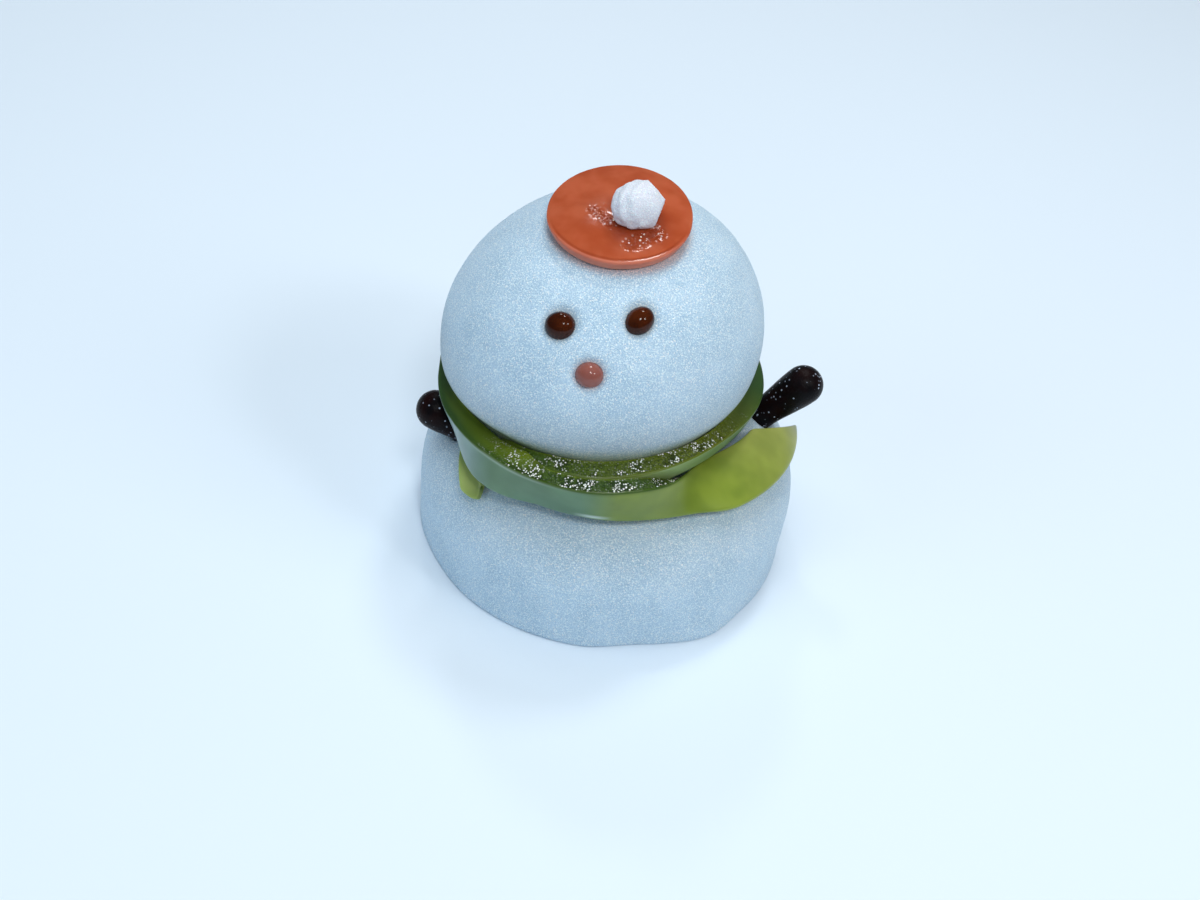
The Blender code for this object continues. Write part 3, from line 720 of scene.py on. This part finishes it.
def build_body(settings):
    """A turned bun of paste with thumb marks, pressed down where the arms go in."""
    wall = BODY_SHOULDER_START - BODY_FOOT_ROUNDING
    heights = [BODY_FOOT_ROUNDING * (1.0 - math.cos(math.radians(angle))) for angle in range(0, 91, 15)]
    heights += [BODY_FOOT_ROUNDING + wall * step / 12 for step in range(1, 13)]
    heights += [
        BODY_SHOULDER_START + BODY_SHOULDER_RISE * math.sin(math.radians(angle)) for angle in range(3, 90, 3)
    ]
    outline = [(0.0, 0.0), (0.35, 0.0), (0.8, 0.0)] + [(1.0, height) for height in heights]
    plateau = (BODY_WALL_RADIUS - BODY_SHOULDER_WIDTH) / BODY_WALL_RADIUS
    bm = bmesh.new()
    spin_profile(bm, outline + [(plateau, BODY_HEIGHT), (0.0, BODY_HEIGHT)], 240)
    stain = mask_layer(bm, "stain")
    for vert in bm.verts:
        level = math.hypot(vert.co.x, vert.co.y)
        azimuth = azimuth_of(vert.co)
        if vert.co.z < 0.001 * MM:
            radius = level * body_radius(0.0, azimuth)
        elif vert.co.z < BODY_HEIGHT - 0.001 * MM:
            radius = body_radius(vert.co.z, azimuth)
        else:
            radius = level * BODY_WALL_RADIUS
        if level > 0.0:
            vert.co.x *= radius / level
            vert.co.y *= radius / level
        inward = Vector((vert.co.x, vert.co.y, 0.6 * (vert.co.z - BODY_SHOULDER_START)))
        if vert.co.z > 0.5 * BODY_FOOT_ROUNDING:
            vert.co -= inward.normalized() * (hand_relief(vert.co, settings.hand_depth) + 0.01 * MM)
        for _, base, end, end_radius in ARMS:
            away = arm_distance(vert.co, base, end, end_radius)
            if away < ARM_BED_REACH and vert.co.z > BODY_SHOULDER_START:
                vert.co.z -= ARM_BED_DEPTH * fade(0.0, ARM_BED_REACH, away)
                while arm_distance(vert.co, base, end, end_radius) < ARM_BED_GAP:
                    vert.co.z -= ARM_BED_GAP
        # Painted shade in the mask: the shoulder is browned and darkened upwards, and greened a little at
        # the front under the scarf
        rim = smoothstep(BODY_HEIGHT - 6.0 * MM, BODY_HEIGHT - 2.0 * MM, vert.co.z)
        upper = smoothstep(BODY_SHOULDER_START, BODY_HEIGHT - 2.0 * MM, vert.co.z)
        vert[stain] = (0.0, 0.04 * rim * fade(60.0, 100.0, abs(azimuth)), 0.26 * upper, 1.0)
    material = paste_material(settings, "white bean paste", settings.colour, settings.shade_colour)
    finish_piece("body_paste", bm, material, "paste", "body")


def build_face(settings):
    """Two dark jelly eyes and a pink jelly nose, each a flattened drop with a wet skin."""
    eye = jelly_material(
        "brown eye jelly", settings.eye_colour, settings.eye_deep_colour, 0.08, 0.6 * MM, 0.22,
    )
    nose = jelly_material(
        "pink nose jelly", settings.nose_colour, settings.nose_deep_colour, 0.12, 0.8 * MM, 0.4,
    )
    for name, azimuth, elevation, narrow, wide, turn in FACE_DROPS:
        bm = bmesh.new()
        bmesh.ops.create_uvsphere(bm, u_segments=64, v_segments=40, radius=1.0)
        for vert in bm.verts:
            vert.co *= 1.0 + 0.03 * noise.noise(vert.co * 1.3 + Vector((azimuth, 0.0, 0.0)))
        bm.transform(drop_frame(azimuth, elevation, turn) @ Matrix.Diagonal((wide, narrow, DROP_DEPTH, 1.0)))
        material, slot = (nose, "pink_jelly") if name == "nose" else (eye, "brown_jelly")
        finish_piece(name + "_drop", bm, material, slot, name)


def hat_point(around, distance, lift):
    """A point of the hat, given by its place on the flat disc and its height over the head."""
    middle = head_direction(HAT_AZIMUTH, HAT_ELEVATION)
    side = middle.cross(Vector((0.0, -1.0, 0.0))).normalized()
    ahead = side.cross(middle)
    spread = side * math.cos(around) + ahead * math.sin(around)
    bend = distance * (1.0 - HAT_TUCK * max(spread.x, 0.0)) / HEAD_RADIUS
    direction = middle * math.cos(bend) + spread * math.sin(bend)
    stiff = HAT_BACK_LIFT * max(spread.y, 0.0) * (distance / HAT_RADIUS) ** 2
    return HEAD_CENTRE + direction * (head_radius(direction) + lift + stiff)


def hat_top(x, y):
    """The height of the hat's upper side above a point of the floor."""
    return crown_height(x, y) + GAP + HAT_THICKNESS


def hat_wetness(level, start, end, half_width):
    """How wet and crinkled the hat is at a place: one along a short line, fading out beside it."""
    line = Vector(end) - Vector(start)
    along = min(max((level - Vector(start)).dot(line) / line.length_squared, 0.0), 1.0)
    away = (level - Vector(start) - line * along).length
    return fade(0.35 * half_width, half_width, away)


def build_hat(settings):
    """A disc of red jelly turned from its section, then draped over the crown."""
    bm = bmesh.new()
    inside = HAT_RADIUS - HAT_EDGE
    turns = [math.radians(angle) for angle in range(-90, 91, 15)]
    rim = [(inside + HAT_EDGE * math.cos(turn), HAT_EDGE * math.sin(turn)) for turn in turns]
    under = [(HAT_RADIUS * step / 24, 0.0) for step in range(0, 23)]
    over = [(inside * (1.0 - step / 60), HAT_THICKNESS) for step in range(1, 61)]
    lower = [(radius, height + HAT_EDGE) for radius, height in rim if height <= 0.0]
    upper = [(radius, height + HAT_THICKNESS - HAT_EDGE) for radius, height in rim if height >= 0.0]
    spin_profile(bm, under + lower + upper + over, 320)
    depth = mask_layer(bm, "depth")
    for vert in bm.verts:
        distance = math.hypot(vert.co.x, vert.co.y)
        around = math.atan2(vert.co.y, vert.co.x)
        height = vert.co.z
        top = smoothstep(0.6 * HAT_THICKNESS, HAT_THICKNESS, height)
        spot = hat_point(around, distance, GAP + height)
        level = Vector((spot.x, spot.y))
        wobble = 0.06 * MM * noise.noise(spot * 300.0)
        wet = top * max(hat_wetness(level, *strip) for strip in HAT_WET_STRIPS)
        crinkles = noise.noise(spot * 3000.0) + 0.6 * noise.noise(spot * 6500.0) - 0.25
        front = smoothstep(0.2, 0.9, -(spot.y - HEAD_CENTRE.y) / HAT_RADIUS)
        groove = swell(HAT_RADIUS - distance, HAT_GROOVE_INSET, HAT_GROOVE_HALF_WIDTH) * top * front
        lift = GAP - (GAP - HAT_SEAT_GAP) * fade(0.0, 0.5 * HAT_THICKNESS, height) + height
        lift += wet * settings.wet_relief * crinkles + min(wobble, 0.0) * top - HAT_GROOVE_DEPTH * groove
        vert.co = hat_point(around, distance, lift)
        # Painted into the mask: shade beside the crumb, in the groove and in the wet strips (red), light
        # that pales the thin front edge (green), and the wet strips that get painted glints (blue)
        near_crumb = fade(2.4 * MM, 4.6 * MM, (level - Vector(POMPON_FOOT)).length)
        side = fade(0.2 * HAT_THICKNESS, 0.95 * HAT_THICKNESS, height)
        rim_line = smoothstep(HAT_RADIUS - 0.40 * MM, HAT_RADIUS - 0.15 * MM, distance)
        pale = front * max(side, 0.5 * rim_line)
        vert[depth] = (max(0.8 * near_crumb, 0.9 * groove, 0.9 * wet), 0.6 * pale, wet, 1.0)
    material = jelly_material(
        "red hat jelly", settings.hat_colour, settings.hat_deep_colour, 0.14, 1.2 * MM, 0.5,
    )
    finish_piece("hat_disc", bm, material, "red_jelly", "hat")


def build_pompon(settings):
    """A torn crumb of paste: an uneven egg with a flat torn end, its underside following the hat."""
    bm = bmesh.new()
    bmesh.ops.create_icosphere(bm, subdivisions=6, radius=1.0)
    stain = mask_layer(bm, "stain")
    for vert in bm.verts:
        direction = vert.co.normalized()
        across = math.sin(POMPON_WAVES.x * direction.x + POMPON_WAVE_START)
        along = math.sin(POMPON_WAVES.y * direction.y - POMPON_WAVES.z * direction.z)
        crumbs = 0.02 * noise.noise(direction * 4.0) + 0.008 * noise.noise(direction * 12.0)
        vert.co = direction * (0.99 + POMPON_UNEVEN * across * along + crumbs)
        if vert.co.y < 0.0:
            vert.co.y *= POMPON_FRONT_PRESS
    foot = hat_top(*POMPON_FOOT) + GAP
    middle = Vector((*POMPON_FOOT, foot + POMPON_SIT * POMPON_RADII[2]))
    turn = Matrix.Rotation(math.radians(POMPON_TURN), 4, "Z")
    bm.transform(Matrix.Translation(middle) @ turn @ Matrix.Diagonal((*POMPON_RADII, 1.0)))
    for vert in bm.verts:
        for normal, reach in POMPON_TEARS:
            over = (vert.co - middle).dot(normal) - reach
            if over > 0.0:
                torn = 0.5 + 0.5 * noise.noise(vert.co * 1900.0) + 0.35 * noise.noise(vert.co * 4500.0)
                vert.co -= normal * (over + settings.tear_depth * torn)
        floor = hat_top(vert.co.x, vert.co.y) + 0.05 * MM
        # Painted light: the crumb's underside is reddened by red light from the hat, fading out 0.9 mm above
        # it
        red = fade(0.0, 0.9 * MM, vert.co.z - floor)
        vert.co.z = max(vert.co.z, floor)
        vert[stain] = (0.55 * red, 0.0, 0.0, 1.0)
    material = paste_material(
        settings, "torn crumb of paste", settings.crumb_colour, settings.crumb_shade_colour,
    )
    finish_piece("pompon_paste", bm, material, "paste", "hat_pompon")


def changed(value, turn, changes):
    """A value with its changes so far, each given by the turns where it starts and ends."""
    return value + sum(change * smoothstep(start, end, turn) for start, end, change in changes)


def swollen(turn, swells):
    """The sum of swells at a turn, each given by its turn, half width and size."""
    return sum(size * swell(turn, at, half) for at, half, size in swells)


def scarf_thickness(turn):
    """The strip's thickness: its start is pressed thin under the rest."""
    more = (SCARF_THICKNESS - SCARF_START_THICKNESS) * smoothstep(*SCARF_FILL, turn)
    return SCARF_START_THICKNESS + more + swollen(turn, SCARF_SWELLS)


def scarf_width(turn):
    """The strip's width: full at the front and the ends, squeezed between head and body elsewhere."""
    return changed(SCARF_START_WIDTH, turn, SCARF_WIDENINGS)


def scarf_on_head(turn):
    """Where the strip hugs the head: the middle of its top edge, its lean there and its curl."""
    elevation = changed(SCARF_START_ELEVATION, turn, SCARF_CLIMBS)
    lift = GAP + 0.5 * scarf_thickness(turn)
    if turn > SCARF_LAYER[0]:
        lift += (scarf_thickness(turn - 360.0) + SCARF_LAYER_GAP) * smoothstep(*SCARF_LAYER, turn)
    lean = 90.0 + elevation + swollen(turn, SCARF_LEANS)
    return head_point(turn, elevation, lift), lean, 1.0 / (HEAD_RADIUS + lift)


def scarf_on_shoulder(turn):
    """Where an end of the strip lies on the shoulder: the same three values as on the head."""
    upper, start, end, change = SCARF_RIGHT_LIE if turn > 180.0 else SCARF_LEFT_LIE
    upper += change * smoothstep(start, end, turn)
    lower = upper + SCARF_LIE_SHARE * scarf_width(turn)
    slope = math.atan2(shoulder_height(upper) - shoulder_height(lower), upper - lower)
    lift = GAP + 0.5 * scarf_thickness(turn) + SCARF_SHOULDER_LIFT
    rise = Vector((0.0, 0.0, shoulder_height(upper) - lift * math.cos(slope)))
    top = outward(turn) * (upper + lift * math.sin(slope)) + rise
    return top, math.degrees(slope + 0.5 * SCARF_SHOULDER_CURL * scarf_width(turn)), SCARF_SHOULDER_CURL


def down_the_strip(turn, lean, curl, along):
    """The way from the strip's top edge to a place down its curled width."""
    chord = math.radians(lean) - 0.5 * curl * along
    return (outward(turn) * math.cos(chord) + Vector((0.0, 0.0, math.sin(chord)))) * -along


def scarf_section(turn):
    """The strip's top edge, lean, curl and width at a turn, between hugging and lying."""
    head_top, head_lean, head_curl = scarf_on_head(turn)
    rest_top, rest_lean, rest_curl = scarf_on_shoulder(turn)
    head_foot = head_top + down_the_strip(turn, head_lean, head_curl, scarf_width(turn))
    rest_foot = rest_top + down_the_strip(turn, rest_lean, rest_curl, scarf_width(turn))
    fallen = smoothstep(*SCARF_FALL, turn)
    lying = fade(*SCARF_RISE, turn) + fallen
    foot_lying = fade(*SCARF_FOOT_RISE, turn) + fallen
    top = head_top.lerp(rest_top, lying)
    top.z -= SCARF_DIP * swell(turn, SCARF_DIP_TURN, SCARF_DIP_REACH)
    across = top - head_foot.lerp(rest_foot, foot_lying)
    curl = head_curl + (rest_curl - head_curl) * lying
    chord = math.atan2(across.z, across.dot(outward(turn)))
    return top, math.degrees(chord + 0.5 * curl * across.length), curl, across.length


def wrap_strip(turn, share, side, section):
    """Takes a point of the flat strip to its place round the neck, its lip laid against the head."""
    top, lean, curl, width = section
    slant = SCARF_START_SLANT * fade(SCARF_START, SCARF_START + SCARF_START_REACH, turn)
    slant += SCARF_END_SLANT * smoothstep(SCARF_END - SCARF_END_REACH, SCARF_END, turn)
    level = (top - Vector((0.0, 0.0, top.z))).length
    along = share * width
    face = math.radians(lean) - curl * along
    out = outward(turn + slant * share)
    spot = top + (out - outward(turn)) * level
    spot += down_the_strip(turn + slant * share, lean, curl, along)
    normal = out * math.sin(face) - Vector((0.0, 0.0, math.cos(face)))
    spot += normal * side * 0.5 * scarf_thickness(turn)
    start, end = SCARF_LIP_END
    covered = between(turn, *SCARF_RISE, start - 360.0, end - 360.0)
    spot.z -= SCARF_PRESSED * covered * fade(0.0, 0.4, share)
    return spot - normal * lip_reach(turn, share, side, spot)


def lip_reach(turn, share, side, spot):
    """How far the top edge's inner side reaches in to touch what lies behind it."""
    inner = smoothstep(0.3, -0.6, side)
    hugging = between(turn, *SCARF_RISE, *SCARF_FALL)
    weight = inner * hugging * fade(0.3 * SCARF_LIP_SHARE, SCARF_LIP_SHARE, share)
    if weight <= 0.0:
        return 0.0
    from_head = spot - HEAD_CENTRE
    free = from_head.length - head_radius(from_head.normalized())
    if turn > SCARF_LAYER[0]:
        free -= smoothstep(*SCARF_LIP_END, turn) * (GAP + scarf_thickness(turn - 360.0))
    return weight * min(max(free - SCARF_LIP_GAP, 0.0), SCARF_LIP_REACH)


def cut_edges(bm, axis, shortest, cuts):
    """Subdivides every edge that runs along one axis and is at least a given length."""
    chosen = []
    for edge in bm.edges:
        run = edge.verts[1].co - edge.verts[0].co
        if run.length > shortest and abs(run[axis]) > 0.999 * run.length:
            chosen.append(edge)
    bmesh.ops.subdivide_edges(bm, edges=chosen, cuts=cuts, use_grid_fill=True)


def build_scarf(settings):
    """A flat strip with rounded edges, cut fine and wrapped round the neck, its cut edge left grainy."""
    bm = bmesh.new()
    length = math.radians(SCARF_END - SCARF_START) * HEAD_RADIUS
    size = Matrix.Diagonal((length, SCARF_FLAT_WIDTH, SCARF_THICKNESS, 1.0))
    bmesh.ops.create_cube(bm, size=1.0, matrix=size)
    bmesh.ops.bevel(
        bm, geom=bm.edges[:], offset=SCARF_EDGE, offset_type="OFFSET", segments=3,
        profile=0.5, affect="EDGES", material=-1,
    )
    cut_edges(bm, 2, 0.5 * MM, 12)
    cut_edges(bm, 1, 0.5 * MM, 15)
    cut_edges(bm, 0, 5.0 * MM, 900)
    strip = mask_layer(bm, "strip")
    sparkle = bm.verts.layers.float.new("sparkle")
    sections = {}
    for vert in bm.verts:
        place = vert.co.x / length + 0.5
        turn = SCARF_START + (SCARF_END - SCARF_START) * place
        share = 0.5 - vert.co.y / SCARF_FLAT_WIDTH
        side = 2.0 * vert.co.z / SCARF_THICKNESS
        key = round(turn, 4)
        if key not in sections:
            sections[key] = scarf_section(turn)
        grainy = fade(0.0, 0.06, share) * sum(between(turn, *part) for part in SCARF_GRAINY)
        grainy *= fade(0.55, 0.85, abs(side))
        vert.co = wrap_strip(turn, share, side, sections[key])
        rough = noise.noise(vert.co * 3400.0) + 0.6 * noise.noise(vert.co * 7000.0)
        vert.co.z += grainy * settings.grain_depth * min(rough - 0.5, 0.0)
        # Painted light in the mask: the glow beside the head, the stronger glow in the shaded wedge, and the
        # two painted highlights
        deep = between(turn, *SCARF_DEEP_GLOW) * smoothstep(0.6, -0.8, side)
        glow = between(turn, *SCARF_GLOW) * max(smoothstep(-0.15, -0.95, side), deep)
        crescent, border = (
            swell(share, at, half) * swell(turn, middle, reach)
            for at, half, middle, reach in (SCARF_CRESCENT, SCARF_BORDER)
        )
        shine = max(crescent, 0.45 * border * smoothstep(0.5, 0.9, side))
        vert[strip] = (place, shine, fade(0.035, 0.075, share), 0.85 * glow)
        vert[sparkle] = grainy
    finish_piece("scarf_jelly", bm, scarf_material(settings), "green_jelly", "scarf")


def build_arms(settings):
    """Two stubby clubs of dark paste, turned from their outline and pushed into the shoulder."""
    material = arm_material(settings)
    for name, base, end, end_radius in ARMS:
        axis = end - base
        start = -0.9 * ARM_DEPTH
        outline = [(share * ARM_BASE_RADIUS, start) for share in (0.0, 0.35, 0.7)]
        for step in range(1, 25):
            along = start + (axis.length - start) * (step / 25)
            outline.append((arm_radius(end_radius, along / axis.length), along))
        for angle in range(0, 91, 5):
            turn = math.radians(angle)
            outline.append((end_radius * math.cos(turn), axis.length + end_radius * math.sin(turn)))
        bm = bmesh.new()
        spin_profile(bm, outline, 72)
        bm.transform(Matrix.Translation(base) @ axis.to_track_quat("Z", "Y").to_matrix().to_4x4())
        bmesh.ops.recalc_face_normals(bm, faces=bm.faces)
        bm.normal_update()
        for vert in bm.verts:
            rough = noise.noise(vert.co * 420.0) + 0.5 * noise.noise(vert.co * 1300.0)
            vert.co -= vert.normal * settings.lump_depth * max(1.0 + 0.6 * rough, 0.9)
        finish_piece(name + "_paste", bm, material, "dark_paste", name)


def add_light(name, place, size, power, colour, glossy):
    """A round soft light that faces the sweet; only the small ones are seen in wet surfaces."""
    light = bpy.data.lights.new(name, "AREA")
    light.shape = "DISK"
    light.size = size
    light.energy = power
    light.color = colour
    lamp = bpy.data.objects.new(name, light)
    lamp.location = place
    lamp.rotation_euler = (LIT_POINT - place).to_track_quat("-Z", "Y").to_euler()
    lamp.visible_glossy = glossy
    bpy.context.scene.collection.objects.link(lamp)


def build_stage(settings):
    """A pale floor, soft lights and the camera."""
    scene = bpy.context.scene
    material, tree, shader = new_material("pale floor", 0.75, 0.5)
    feed(tree, shader, {"Base Color": settings.floor_colour})
    bm = bmesh.new()
    bmesh.ops.create_grid(bm, x_segments=2, y_segments=2, size=1.2)
    floor = new_object("floor", bm, material)
    world = bpy.data.worlds.new("studio")
    scene.world = world
    world.use_nodes = True
    background = world.node_tree.nodes["Background"]
    feed(world.node_tree, background, {"Color": settings.sky_colour, "Strength": settings.sky_strength})
    for name, place, size, colour in SOFT_LIGHTS:
        add_light(name, place, size, getattr(settings, name + "_power"), colour, False)
    for name, place, size, share in SMALL_LIGHTS:
        add_light(name, place, size, share * settings.glint_power, (1.0, 1.0, 1.0), True)
    camera = bpy.data.cameras.new("camera")
    camera.lens = CAMERA_LENS
    camera.sensor_width = 36.0
    camera.clip_start = 0.01
    viewer = bpy.data.objects.new("camera", camera)
    tilt = Matrix.Rotation(math.radians(CAMERA_TILT), 4, "X")
    roll = Matrix.Rotation(math.radians(CAMERA_ROLL), 4, "Z")
    viewer.matrix_world = Matrix.Translation(CAMERA_PLACE) @ tilt @ roll
    scene.collection.objects.link(viewer)
    scene.camera = viewer
    scene.view_settings.view_transform = "Standard"


def colour_of(name, text, default):
    return FloatVectorProperty(
        name=name, description=text, subtype="COLOR", size=3, min=0.0, max=1.0, default=default,
    )


def length_of(name, text, default):
    return FloatProperty(name=name, description=text, default=default, min=0.0, unit="LENGTH", precision=5)


def power_of(name, text, default):
    return FloatProperty(name=name, description=text, default=default, min=0.0, unit="POWER")


def share_of(name, text, default):
    return FloatProperty(name=name, description=text, default=default, min=0.0, max=1.0, subtype="FACTOR")


class WagashiPasteSettings(bpy.types.PropertyGroup):
    colour: colour_of("Paste", "Colour of the white bean paste", (0.43, 0.62, 0.79))
    shade_colour: colour_of("Paste patches", "Colour of the deeper patches in the paste", (0.35, 0.54, 0.71))
    grain_size: length_of("Grain size", "Size of the crumbs in the paste", 0.15 * MM)
    patch_size: length_of("Patch size", "Size of the cloudy patches in the paste", 5.0 * MM)
    hand_depth: length_of("Hand marks", "Depth of the low marks that hands left", 0.16 * MM)
    sparkle_share: share_of("Sparkle", "Share of the crumbs that glint", 0.24)
    crumb_colour: colour_of("Crumb", "Colour of the torn crumb on the hat", (0.74, 0.76, 0.86))
    crumb_shade_colour: colour_of("Crumb patches", "Deeper patches in the torn crumb", (0.68, 0.70, 0.80))
    tear_depth: length_of("Torn end", "Depth of the rough relief on the crumb's torn end", 0.08 * MM)


class WagashiJellySettings(bpy.types.PropertyGroup):
    hat_colour: colour_of("Hat", "Colour of the red hat jelly", (0.47, 0.10, 0.038))
    hat_deep_colour: colour_of("Hat patches", "Deeper colour inside the hat jelly", (0.38, 0.065, 0.018))
    eye_colour: colour_of("Eyes", "Colour of the brown eye jelly", (0.066, 0.012, 0.002))
    eye_deep_colour: colour_of("Eye patches", "Deeper colour inside the eye jelly", (0.028, 0.005, 0.001))
    nose_colour: colour_of("Nose", "Colour of the pink nose jelly", (0.275, 0.096, 0.076))
    nose_deep_colour: colour_of("Nose patches", "Deeper colour inside the nose jelly", (0.23, 0.076, 0.062))
    wet_relief: length_of("Wet relief", "Height of the wet crinkles on the hat", 0.15 * MM)


class WagashiScarfSettings(bpy.types.PropertyGroup):
    cut_colour: colour_of("Cut edge", "Colour of the strip's cut top edge in front", (0.045, 0.090, 0.008))
    cut_smooth_colour: colour_of("Smooth cut edge", "Its colour at the sides", (0.027, 0.070, 0.016))
    # Painted light: the cut edge's glow where light comes through it
    cut_glow_colour: colour_of("Cut edge glow", "Its colour where light comes through", (0.12, 0.15, 0.010))
    # Painted highlight: a pale bluish sheen on the outer face's left tip
    tip_colour: colour_of("Outer face tip", "Colour of the left tip of the outer face", (0.24, 0.36, 0.35))
    # The milky outer face's colour is partly a painted reflection of the pale floor below it
    mint_colour: colour_of("Outer face", "Colour of the milky outer face", (0.115, 0.225, 0.115))
    tail_colour: colour_of("Right end", "Colour of the right part of the strip", (0.24, 0.32, 0.040))
    end_colour: colour_of("Right tip", "Colour of the far tip of the right end", (0.36, 0.39, 0.10))
    start_colour: colour_of("Left end", "Colour of the left end of the strip", (0.36, 0.45, 0.14))
    grain_size: length_of("Grain size", "Size of the crumbs on the cut edge", 0.22 * MM)
    grain_depth: length_of("Grain depth", "Depth between the crumbs on the cut edge", 0.10 * MM)


class WagashiArmSettings(bpy.types.PropertyGroup):
    colour: colour_of("Arms", "Colour of the dark arm paste", (0.003, 0.003, 0.004))
    edge_colour: colour_of("Arm patches", "Warmer colour of thin places in the arms", (0.010, 0.003, 0.003))
    grain_size: length_of("Grain size", "Size of the crumbs in the arm paste", 0.24 * MM)
    lump_depth: length_of("Lumps", "Depth of the uneven surface", 0.05 * MM)


class WagashiStageSettings(bpy.types.PropertyGroup):
    floor_colour: colour_of("Floor", "Colour of the pale floor", (0.72, 0.83, 0.93))
    sky_colour: colour_of("Surroundings", "Colour of the soft light from all round", (0.80, 0.88, 0.96))
    sky_strength: share_of("Surroundings", "Strength of the light from all round", 0.14)
    overhead_power: power_of("Overhead light", "Power of the overhead light", 0.9)
    window_power: power_of("Window light", "Power of the cool side light", 0.56)
    front_power: power_of("Front light", "Power of the soft light from in front", 0.25)
    right_power: power_of("Right light", "Power of the neutral right light", 0.52)
    glint_power: power_of("Small lights", "Power of the small lights that wet surfaces mirror", 1.0)


class WAGASHI_OT_body(bpy.types.Operator):
    """Builds the body of white bean paste"""

    bl_idname = "wagashi.body"
    bl_label = "Body"

    def execute(self, context):
        build_body(context.scene.wagashi_paste)
        return {"FINISHED"}


class WAGASHI_OT_head(bpy.types.Operator):
    """Builds the head of white bean paste with beds for the face"""

    bl_idname = "wagashi.head"
    bl_label = "Head"

    def execute(self, context):
        build_head(context.scene.wagashi_paste)
        return {"FINISHED"}


class WAGASHI_OT_face(bpy.types.Operator):
    """Builds the jelly eyes and nose"""

    bl_idname = "wagashi.face"
    bl_label = "Face"

    def execute(self, context):
        build_face(context.scene.wagashi_jelly)
        return {"FINISHED"}


class WAGASHI_OT_hat(bpy.types.Operator):
    """Builds the red jelly hat"""

    bl_idname = "wagashi.hat"
    bl_label = "Hat"

    def execute(self, context):
        build_hat(context.scene.wagashi_jelly)
        return {"FINISHED"}


class WAGASHI_OT_pompon(bpy.types.Operator):
    """Builds the torn crumb of paste on the hat"""

    bl_idname = "wagashi.pompon"
    bl_label = "Pompon"

    def execute(self, context):
        build_pompon(context.scene.wagashi_paste)
        return {"FINISHED"}


class WAGASHI_OT_scarf(bpy.types.Operator):
    """Builds the jelly scarf"""

    bl_idname = "wagashi.scarf"
    bl_label = "Scarf"

    def execute(self, context):
        build_scarf(context.scene.wagashi_scarf)
        return {"FINISHED"}


class WAGASHI_OT_arms(bpy.types.Operator):
    """Builds both arms of dark paste"""

    bl_idname = "wagashi.arms"
    bl_label = "Arms"

    def execute(self, context):
        build_arms(context.scene.wagashi_arms)
        return {"FINISHED"}


class WAGASHI_OT_stage(bpy.types.Operator):
    """Sets up the floor, the lights and the camera"""

    bl_idname = "wagashi.stage"
    bl_label = "Stage"

    def execute(self, context):
        build_stage(context.scene.wagashi_stage)
        return {"FINISHED"}


SETTINGS = {
    "wagashi_paste": WagashiPasteSettings,
    "wagashi_jelly": WagashiJellySettings,
    "wagashi_scarf": WagashiScarfSettings,
    "wagashi_arms": WagashiArmSettings,
    "wagashi_stage": WagashiStageSettings,
}
OPERATORS = (
    WAGASHI_OT_body, WAGASHI_OT_head, WAGASHI_OT_face, WAGASHI_OT_hat,
    WAGASHI_OT_pompon, WAGASHI_OT_scarf, WAGASHI_OT_arms, WAGASHI_OT_stage,
)


class WAGASHI_PT_panel(bpy.types.Panel):
    """Lists the pieces of the sweet with their sizes and colours"""

    bl_label = "Snowman Wagashi"
    bl_space_type = "VIEW_3D"
    bl_region_type = "UI"
    bl_category = "Wagashi"

    def draw(self, context):
        for operator in OPERATORS:
            self.layout.operator(operator.bl_idname)
        for name, group in SETTINGS.items():
            box = self.layout.box()
            for key in group.__annotations__:
                box.prop(getattr(context.scene, name), key)


CLASSES = (*SETTINGS.values(), *OPERATORS, WAGASHI_PT_panel)


def register():
    for kind in CLASSES:
        bpy.utils.register_class(kind)
    for name, group in SETTINGS.items():
        setattr(bpy.types.Scene, name, PointerProperty(type=group))


def unregister():
    for name in SETTINGS:
        delattr(bpy.types.Scene, name)
    for kind in reversed(CLASSES):
        bpy.utils.unregister_class(kind)


def main():
    register()
    bpy.ops.wagashi.stage()
    bpy.ops.wagashi.body()
    bpy.ops.wagashi.head()
    bpy.ops.wagashi.face()
    bpy.ops.wagashi.hat()
    bpy.ops.wagashi.pompon()
    bpy.ops.wagashi.scarf()
    bpy.ops.wagashi.arms()


if __name__ == "__main__":
    main()
